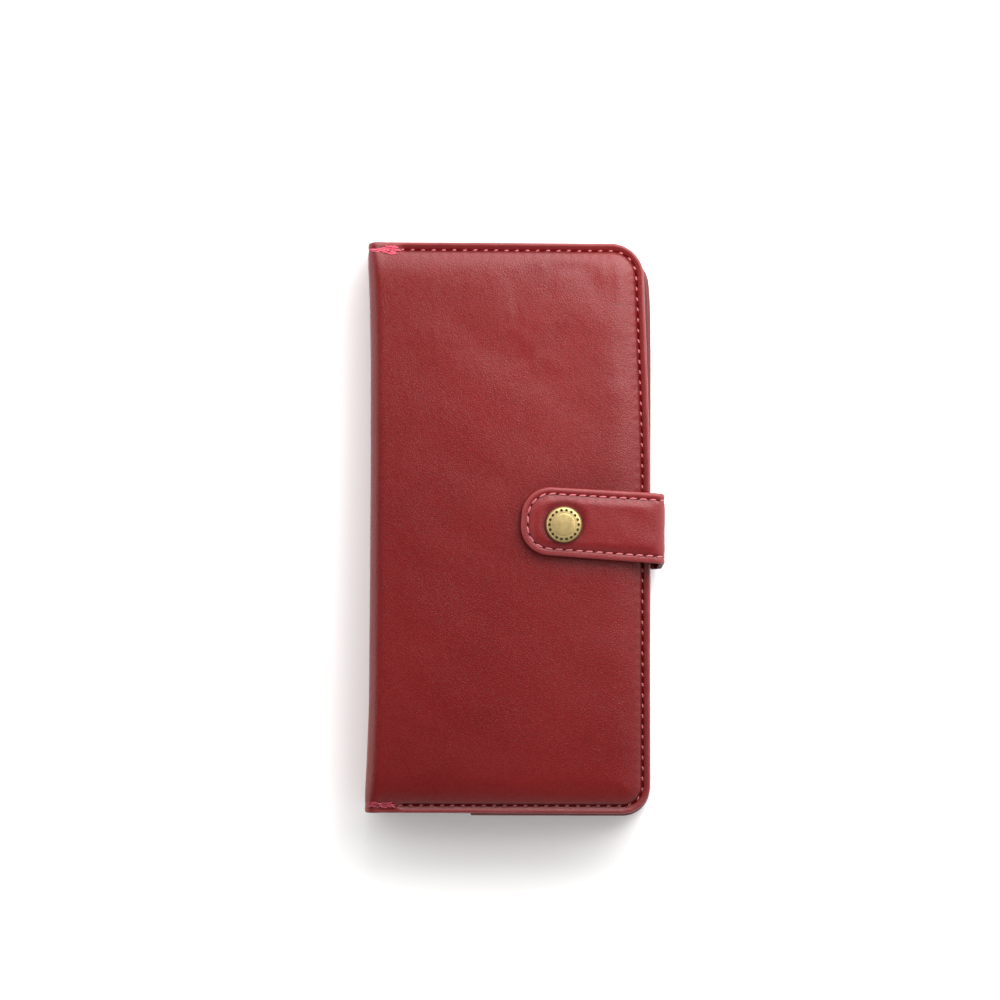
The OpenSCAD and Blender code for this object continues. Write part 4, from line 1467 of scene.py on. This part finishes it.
@dataclass
class StrapForm:
    """The strap as one unrolled strip, from its tip over the fore edge to its root in the back cover.

    The first coordinate runs along the strap from the snap's axis and on down the side; the second is
    across, from the middle line; heights are outward from the outer face. The strap lies at a tilt and
    folds on lines along Y.
    """

    snap: tuple[float, float]
    tilt: float
    side_at: float
    top: float
    tip: float
    half: float
    under: float = 3.3
    offset: float = 0.8
    roll: float = 3.3
    tip_radius: float = 9.8
    root_at: float = 46.4
    lag: float = 0.5
    taper: float = 0.012
    seam_inset: float = 2.3
    seam_pitch: float = 3.3

    @classmethod
    def from_frame(cls, snap: tuple[float, float]) -> "StrapForm":
        """Reads the strap's tilt and reach off the frame."""
        axis = joint("strap_tip_lift")["axis"]
        tilt = math.atan2(axis[0], axis[1])
        low, high = box_mm("strap_tab_leather")
        side = box_mm("strap_side_leather")[1]
        half = 11.5
        tip = (low[0] - snap[0]) / math.cos(tilt)
        return cls(snap, tilt, side[0] - half * math.sin(tilt), high[2], tip, half)

    @property
    def roll_start(self) -> float:
        """Distance from the snap's axis, square to the fore edge, at which the upper bend begins."""
        return self.side_at - self.snap[0] - self.roll

    @property
    def turn(self) -> float:
        """Length of a quarter bend."""
        return math.pi / 2 * self.roll

    @property
    def drop(self) -> float:
        """Length of the side between the bends."""
        return self.top - self.under - 2 * self.roll

    @property
    def split(self) -> float:
        """Middle of the side, where the upper and the lower part meet."""
        return self.roll_start + self.turn + self.drop / 2

    @property
    def end(self) -> float:
        """The root's end."""
        return self.roll_start + 2 * self.turn + self.drop + self.side_at - self.roll - self.root_at

    def bend(self, s: Array, v: Array, h: Array) -> Array:
        """Takes coordinates along, across and outward to places."""
        v = v * (1 + self.taper * np.clip((s - 8) / 14, -1.2, 1.2)) + self.offset
        across = s * math.cos(self.tilt) + v * math.sin(self.tilt)
        along = -s * math.sin(self.tilt) + v * math.cos(self.tilt)
        past = across - self.roll_start
        first = np.clip(past / self.roll, 0, math.pi / 2)
        down = np.clip(past - self.turn, 0, self.drop)
        second = np.clip((past - self.turn - self.drop) / self.roll, 0, math.pi / 2)
        back = np.clip(past - 2 * self.turn - self.drop, 0, None)
        radius = self.roll + h
        x = np.minimum(across, self.roll_start) + radius * np.sin(first + second) - back
        z = self.top - self.roll - down + radius * np.cos(first + second)
        sag = self.lag * smooth(past / (2 * self.turn + self.drop))
        return np.stack([self.snap[0] + x, self.snap[1] + along - sag, z], -1)

    def spot(self, x: float, z: float) -> tuple[float, float, float]:
        """A place in metres above the fore edge's middle, at a given X and height."""
        return metres(x, self.snap[1], z)

    def padding(self, s: Array) -> Array:
        """1 on the padded tab, 0 on the thin side and root."""
        return 1 - smooth((s - self.roll_start + 4) / 6)


class Strap:
    """The snap strap: leather face, backing, filler and stitching, in a lower and an upper part."""

    def __init__(self, form: StrapForm, finishes: Finishes, seams: SeamRun) -> None:
        """Keeps the strap's form and what dresses it."""
        self.form, self.finishes, self.seams = form, finishes, seams

    def _outline(self, upper: bool) -> Outline:
        """Outline of one part."""
        form = self.form
        if upper:
            return Outline((form.tip, form.split), (-form.half, form.half),
                           (form.tip_radius, form.tip_radius, 0, 0), (True, False, True, True))
        return Outline((form.split, form.end), (-form.half, form.half), (0, 0, 1.5, 1.5),
                       (False, True, True, True))

    def _grid(self, upper: bool, step: float = 0.75) -> tuple[Array, Array, Array]:
        """Grid of one part, and each point's inset."""
        outline = self._outline(upper)
        near = (0.0, 0.05, 0.18, 0.4, 0.7, 1.05, 1.4, 1.75, 2.1, 2.45, 2.8, 3.2, 3.7, 4.3, 5.0)
        ends = (near, (0.0,)) if upper else ((0.0,), (0.0, 0.05, 0.18, 0.4, 0.8))
        s, v = outline.grid(spaced(*outline.x, step, *ends), spaced(*outline.y, step, near, near))
        return s, v, outline.inset(s, v)

    def _turn(self, made: bpy.types.Object, upper: bool) -> None:
        """Bakes a part's transform into its mesh; the hinge spots it works out are not used."""
        form = self.form
        if upper:
            form.spot(form.side_at - 0.3, 20.8)
            form.spot(47.6, 26.0)
            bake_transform(made)
        else:
            form.spot(47.6, 3.6)
            form.spot(form.side_at - 0.3, 8.6)
            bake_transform(made)

    def crown(self, s: Array, v: Array, inset: Array) -> Array:
        """Height of the leather's face before its edge is rounded."""
        form = self.form
        padded = form.padding(s)
        rise = smooth((inset - 2.7) / 2.6)
        height = mixed(-0.3, mixed(0.0, 0.38, padded), rise) * mixed(0.4, 1.0, padded)
        height = height - 0.34 * np.exp(-((inset - form.seam_inset) / 0.5) ** 2)
        pulled = 0.07 * np.sin(2 * math.pi * s / form.seam_pitch)
        height = height + pulled * np.exp(-((inset - 3.5) / 0.8) ** 2)
        height = height + 0.09 * ripple(s, v, 23, 15.0) * smooth((inset - 3) / 4)
        far = np.hypot(s, v)
        return mixed(0.0, height, smooth((far - 5.9) / 2.6))

    def face(self, upper: bool) -> bpy.types.Object:
        """The outer leather of one part, its rim turned and sewn."""
        form = self.form
        s, v, inset = self._grid(upper)
        padded = form.padding(s)
        top = self.crown(s, v, inset)
        thick = mixed(1.2, 1.8, padded)
        under = -mixed(thick, 1.2, smooth((inset - 3.0) / 0.8) * padded)
        top, bottom = rounded_edges(inset, top, under, 0.85)
        worn = np.clip(0.5 + 0.5 * ripple(s, v, 7, 9.0), 0, 1)
        # Paler rim along the turned edge: partly worn edge finish, partly painted highlight.
        rim = np.exp(-((inset - 0.7) / 0.5) ** 2) * (0.5 + 0.4 * worn)
        # Painted highlight: a paler band on the crest of the bend over the fore edge.
        painted_roll_highlight = 0.3 * np.exp(-((s - form.roll_start - 2.4) / 1.6) ** 2)
        # Painted shade in the stitch groove.
        fold = 0.75 * np.exp(-((inset - form.seam_inset - 0.2) / 0.45) ** 2)
        # Painted shade in a ring round the snap cap's foot.
        cap = np.exp(-((np.hypot(s, v) - 6.3) / 0.8) ** 2)
        name = "strap_face_upper" if upper else "strap_face_lower"
        made = layer(name, s, v, top, bottom, form.bend,
                     {"rim": np.clip(rim + painted_roll_highlight, 0, 1), "fold": np.clip(fold + 0.6 * cap, 0, 1)})
        dress(made, self.finishes.strap)
        self._turn(made, upper)
        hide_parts(*(("strap_tab_leather", "strap_side_leather") if upper
                            else ("strap_side_leather", "strap_root")))
        return made

    def backing(self, upper: bool) -> bpy.types.Object:
        """The inner leather of one part."""
        form = self.form
        s, v, inset = self._grid(upper, 1.2)
        if not upper:
            stop = form.roll_start + 2 * form.turn + form.drop + form.side_at - form.roll - 48.2
            s = form.split + (s - form.split) * (stop - form.split) / (form.end - form.split)
        padded = form.padding(s)
        outer = -mixed(1.24, 1.82, padded)
        inner = -mixed(2.2, 2.8, padded)
        far = np.hypot(s, v)
        post = mixed(inner, outer - 0.08, 1 - smooth((far - 5.0) / 0.5)) if upper else inner
        top, bottom = rounded_edges(inset, outer, post, 0.45)
        name = "strap_backing_upper" if upper else "strap_backing_lower"
        # Paler rim: partly the edge's own finish, partly painted highlight.
        made = layer(name, s, v, top, bottom, form.bend, {"rim": 0.5 * np.exp(-(inset / 0.5) ** 2)})
        dress(made, self.finishes.strap_back)
        self._turn(made, upper)
        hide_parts(*(("strap_tab_lining", "strap_side_lining") if upper else ("strap_side_lining",)))
        return made

    def filler(self) -> bpy.types.Object:
        """The thin foam between the tab's leathers."""
        form = self.form
        inset = 3.6
        outline = Outline((form.tip + inset, form.roll_start - 2.0), (-form.half + inset, form.half - inset),
                          (5.0, 5.0, 1.0, 1.0))
        near = (0.0, 0.1, 0.3, 0.7)
        s, v = outline.grid(spaced(*outline.x, 1.5, near, near), spaced(*outline.y, 1.5, near, near))
        low, high = box_mm("strap_tab_filler")
        top, bottom = rounded_edges(outline.inset(s, v), np.full(s.shape, high[2] - form.top),
                                    np.full(s.shape, low[2] - form.top + 0.04), 0.3)
        made = layer("strap_filler_pad", s, v, top, bottom, form.bend)
        dress(made, self.finishes.foam)
        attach(made, "strap_tab")
        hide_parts("strap_tab_filler")
        return made

    def _seam(self, upper: bool, step: float = 0.4) -> list[tuple[Array, Array]]:
        """The stitch line's coordinates in one part: one run on the upper, two on the lower."""
        form = self.form
        y = form.half - form.seam_inset
        radius = form.tip_radius - form.seam_inset
        if upper:
            x_tip = form.tip + form.seam_inset
            long = np.arange(x_tip + radius, form.split - 0.8, step)
            turn = np.linspace(0, math.pi / 2, 14)[1:-1]
            corner_s = x_tip + radius * (1 - np.cos(turn))
            corner_v = y - radius * (1 - np.sin(turn))
            across = np.linspace(-(y - radius), y - radius, 10)
            s = np.concatenate([long[::-1], corner_s[::-1], np.full(10, x_tip), corner_s, long])
            v = np.concatenate([np.full(len(long), -y), -corner_v[::-1], across, corner_v,
                                np.full(len(long), y)])
            return [(s, v)]
        long = np.arange(form.split + 0.8, form.roll_start + form.turn + form.drop + 2.5, step)
        return [(long, np.full(len(long), side * y)) for side in (-1, 1)]

    def _place(self, s: Array, v: Array, lift: float) -> tuple[Array, Array]:
        """Places on the face and outward directions there."""
        form = self.form
        inset = np.where(s < form.tip + form.tip_radius, form.seam_inset, form.half - np.abs(v))
        here = form.bend(s, v, self.crown(s, v, inset) + lift)
        out = form.bend(s, v, np.ones(s.shape)) - form.bend(s, v, np.zeros(s.shape))
        return here, out / np.linalg.norm(out, axis=-1, keepdims=True)

    def stitching(self, upper: bool) -> list[bpy.types.Object]:
        """Thread of one part, and dark pieces of painted shade for its needle holes."""
        pitch = self.form.seam_pitch
        cut = int(pitch / 2 / 0.4)
        threads, holes = [], []
        for k, (s, v) in enumerate(self._seam(upper)):
            place, up = self._place(s, v, 0.10)
            threads.append(self.seams.run(f"strap_thread_{k}", place, up,
                                          RunStyle(pitch, 2.6, 0.68, 0.56, slant=4.0, loose=0.04,
                                                   seed=61 + k),
                                          self.finishes.thread))
            place, up = self._place(s[cut:-cut], v[cut:-cut], -0.02)
            holes.append(self.seams.run(f"strap_hole_{k}", place, up,
                                        RunStyle(pitch, 1.25, 0.8, 0.34, slant=5.0, loose=0.05, seed=71 + k,
                                                 segments=8), self.finishes.hole))
        part = "upper" if upper else "lower"
        made = [joined(f"strap_{part}_thread", threads), joined(f"strap_{part}_needle_holes", holes)]
        for piece in made:
            self._turn(piece, upper)
        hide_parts("strap_tab_stitching" if upper else "strap_side_stitching")
        return made

    def build(self) -> list[bpy.types.Object]:
        """Builds both parts."""
        pieces = [self.filler()]
        for upper in (True, False):
            pieces += [self.face(upper), self.backing(upper), *self.stitching(upper)]
        return pieces


@dataclass
class SnapCap:
    """The ring snap's cap: a gently domed middle in a sloping border with a ring of dark dots."""

    finishes: Finishes
    seams: SeamRun
    dots: int = 18
    dot: float = 1.05
    dot_ring: float = 4.75
    post: float = 1.45
    shrink: float = 0.14
    dot_drop: float = 0.32

    def build(self) -> list[bpy.types.Object]:
        """Builds the cap and its dots."""
        low, high = box_mm("snap_cap")
        centre = (low[0] + high[0]) / 2, (low[1] + high[1]) / 2
        rim, top = (high[0] - low[0]) / 2 - self.shrink, high[2]
        base = box_mm("strap_tab_leather")[1][2]
        face = ((0, 0.02), (1.4, 0.05), (2.8, 0.12), (3.45, 0.17), (3.62, 0.19), (3.72, 0.23), (3.82, 0.25),
                (3.95, 0.25), (4.2, 0.26), (4.75, 0.32), (5.2, 0.42), (5.5, 0.55), (5.75, 0.74), (5.92, 0.98))
        edge = [(rim - 0.03, top - 1.3), (rim, top - 1.55), (rim - 0.08, top - 1.95),
                (rim - 0.35, base + 0.12), (rim - 0.5, base + 0.02), (rim - 1.0, base)]
        stem = [(self.post + 0.25, base), (self.post, base - 0.2), (self.post, low[2] + 0.2),
                (self.post - 0.15, low[2] + 0.02), (0, low[2] + 0.02)]
        profile = [(radius, top - drop) for radius, drop in face] + edge + stem
        cap = revolved("snap_cap_shell", profile, centre, 128)
        spots = np.array([v.co for v in cap.data.vertices]) / MM
        far = np.hypot(spots[:, 0] - centre[0], spots[:, 1] - centre[1])
        patina = (0.24 * smooth((far - 3.7) / 0.3) + 0.7 * smooth((far - 5.5) / 0.35)
                  + 0.25 * np.exp(-((far - 3.8) / 0.14) ** 2))
        attribute = cap.data.attributes.new("patina", "FLOAT", "POINT")
        attribute.data.foreach_set("value", np.clip(patina, 0, 1).astype(np.float32))
        dress(cap, self.finishes.brass)
        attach(cap, "strap_tab")
        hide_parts("snap_cap")
        turn = np.linspace(0, 2 * math.pi, 181)
        ring = np.stack([centre[0] + self.dot_ring * np.cos(turn), centre[1] + self.dot_ring * np.sin(turn),
                         np.full(181, top - self.dot_drop)], -1)[:-1]
        pitch = 2 * math.pi * self.dot_ring / self.dots
        dots = self.seams.run("snap_cap_dots", ring, np.tile([0.0, 0.0, 1.0], (180, 1)),
                              RunStyle(pitch, self.dot, self.dot * 1.1, 0.1, loose=0.0, stray=0.0, seed=1,
                                       segments=12),
                              self.finishes.dot, closed=True)
        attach(dots, "strap_tab")
        return [cap, dots]


# ---------------------------------------------------------------- studio

@dataclass
class Studio:
    """Pale floor, a soft surround, three small soft lights and a camera straight above."""

    centre: tuple[float, float] = (-2.83, 9.57)
    height: float = 1.6
    across: float = 0.33333
    at: float = 0.021
    floor_tone: float = 0.97
    bright_side: tuple[float, float, float] = (-0.35, 0.93, 0.0)
    sides: tuple[float, float] = (0.62, 1.6)
    levels: tuple[float, float] = (2.55, 0.03)

    def build(self) -> None:
        """Makes the floor, the lights, the camera and the view settings."""
        scene = bpy.context.scene
        mesh = bpy.data.meshes.new("floor")
        mesh.from_pydata([(-3, -3, 0), (3, -3, 0), (3, 3, 0), (-3, 3, 0)], [], [(0, 1, 2, 3)])
        floor = linked("floor", mesh)
        s = Shader("floor_pale")
        mottle = s.noise(s.object_place(), 3.0, 2.0)
        tone = s.mix(mottle, (self.floor_tone - 0.005,) * 3, (self.floor_tone,) * 3)
        dress(floor, s.finish({"Base Color": tone, "Roughness": 0.9, "Specular IOR Level": 0.1}))

        self._surround()
        self._area("window", (0.15, 0.165, 0.17), (0.02, 0.03, 0.0), 0.2, 0.8)
        self._area("overhead", (0.13, 0.09, 0.36), (0.03, 0.02, 0.0), 0.16, 0.3)
        self._area("skylight", (0.05, 0.30, 0.27), (0.0, 0.05, 0.0), 0.26, 1.05)

        data = bpy.data.cameras.new("camera")
        camera = linked("camera", data)
        camera.location = (self.centre[0] * MM, self.centre[1] * MM, self.height)
        data.sensor_width = 36.0
        data.lens = 36.0 * (self.height - self.at) / self.across
        data.clip_end = 20.0
        scene.camera = camera
        scene.view_settings.view_transform = "Standard"
        scene.view_settings.look = "None"

    def _surround(self) -> None:
        """A soft surround: bright low down and towards the top end, dim overhead."""
        world = bpy.data.worlds.new("soft_surround")
        bpy.context.scene.world = world
        world.use_nodes = True
        tree = world.node_tree
        nodes, links = tree.nodes, tree.links
        spot = nodes.new("ShaderNodeTexCoord").outputs["Generated"]
        side = nodes.new("ShaderNodeVectorMath")
        side.operation = "DOT_PRODUCT"
        side.inputs[1].default_value = self.bright_side
        links.new(spot, side.inputs[0])
        parts = nodes.new("ShaderNodeSeparateXYZ")
        links.new(spot, parts.inputs[0])

        def ranged(source: bpy.types.NodeSocket, span: tuple[float, float],
                   to: tuple[float, float]) -> bpy.types.NodeSocket:
            """A smooth mapping of one range to another."""
            made = nodes.new("ShaderNodeMapRange")
            made.interpolation_type = "SMOOTHSTEP"
            links.new(source, made.inputs["Value"])
            for name, value in zip(("From Min", "From Max", "To Min", "To Max"), (*span, *to)):
                made.inputs[name].default_value = value
            return made.outputs[0]

        product = nodes.new("ShaderNodeMath")
        product.operation = "MULTIPLY"
        links.new(ranged(side.outputs["Value"], (-0.9, 0.9), self.sides), product.inputs[0])
        links.new(ranged(parts.outputs["Z"], (0.15, 0.95), self.levels), product.inputs[1])
        background = nodes["Background"]
        background.inputs[0].default_value = (1.0, 0.99, 0.975, 1.0)
        links.new(product.outputs[0], background.inputs[1])

    @staticmethod
    def _area(name: str, place: tuple[float, float, float], aim: tuple[float, float, float], size: float,
              power: float) -> None:
        """Adds a square soft light at a place, turned to an aim."""
        data = bpy.data.lights.new(name, "AREA")
        data.energy, data.size = power, size
        lamp = linked(name, data)
        lamp.location = place
        lamp.visible_camera = False
        lamp.rotation_euler = (Vector(aim) - Vector(place)).to_track_quat("-Z", "Y").to_euler()


# ---------------------------------------------------------------- assembly

class Snap:
    """The snap's metal that keeps its CAD form and takes a better finish."""

    BRASS_NODES = ("snap_stud", "snap_rivet", "snap_socket")

    def __init__(self, finishes: Finishes) -> None:
        """Keeps the finishes."""
        self.finishes = finishes

    def build(self) -> list[bpy.types.Object]:
        """Dresses the snap's stud, rivet, socket and spring."""
        brass = [dress(frame["nodes"][node], self.finishes.brass) for node in self.BRASS_NODES]
        return brass + [dress(frame["nodes"]["snap_spring"], self.finishes.steel)]


def covers(finishes: Finishes, seams: SeamRun, snap: tuple[float, float]) -> tuple[Cover, Cover]:
    """The front and the back cover, sized from the frame.

    Args:
        finishes: The materials.
        seams: The tree that sews.
        snap: The snap's x and y.

    Returns:
        The front and the back cover.
    """
    fore, end, closed = box_mm("front_outer_leather")[1]
    spine = box_mm("spine_leather")[0][0]
    span_x, span_y = (spine + 7, fore - 5), (-end + 5, end - 5)
    spine_pull = ((-95, -1.1), (-84, -0.1), (-60, 0.9), (-20, 1.25), (20, 1.5), (60, 1.5), (80, 1.1),
                  (95, 0.1))
    front_wear = Wear(spine_pull, ((-95, -0.2), (25, -0.3), (50, -1.1), (70, -1.8), (88, -2.5), (95, -2.7)),
                      top=(0.65, 0.05), bottom=(0.25, -0.1))
    back_wear = Wear(spine_pull, ((-95, 0.2), (60, 0.5), (80, 0.3), (95, -1.2)), top=(0.0, -2.2),
                     bottom=(0.4, 0.1), step_at=-13.8, step=-2.0)
    front = CoverForm(Side.FRONT, front_wear, fore, spine, end, closed, dimple=snap,
                      dimple_drop=closed - 22.0, puff=Puff(span_x, span_y, 5))
    back = CoverForm(Side.BACK, back_wear, fore, spine, end, closed)
    return Cover(front, finishes, seams), Cover(back, finishes, seams)


def main() -> None:
    """Builds the wallet piece by piece and reports each one."""
    logging.basicConfig(level=logging.INFO, format="%(name)s: %(message)s", stream=sys.stdout)
    Studio().build()
    cap_low, cap_high = box_mm("snap_cap")
    snap = (float(cap_low[0] + cap_high[0]) / 2, float(cap_low[1] + cap_high[1]) / 2)
    finishes, seams = Finishes(), SeamRun()
    front, back = covers(finishes, seams, snap)
    groups: list[tuple[str, list[bpy.types.Object]]] = [
        ("front cover", front.build()),
        ("back cover", back.build()),
        ("lock tacks", BarTacks(front.form, finishes, seams).build()),
        ("phone pocket", PhonePocket(finishes, seams).build()),
        ("card slots", CardSlots(finishes, seams).build()),
        ("strap", Strap(StrapForm.from_frame(snap), finishes, seams).build()),
        ("snap cap", SnapCap(finishes, seams).build()),
        ("snap metal", Snap(finishes).build()),
    ]
    for title, pieces in groups:
        for piece in pieces:
            log.info("%s: %s, %d faces", title, piece.name, len(piece.data.polygons))


if __name__ == "__main__":
    main()
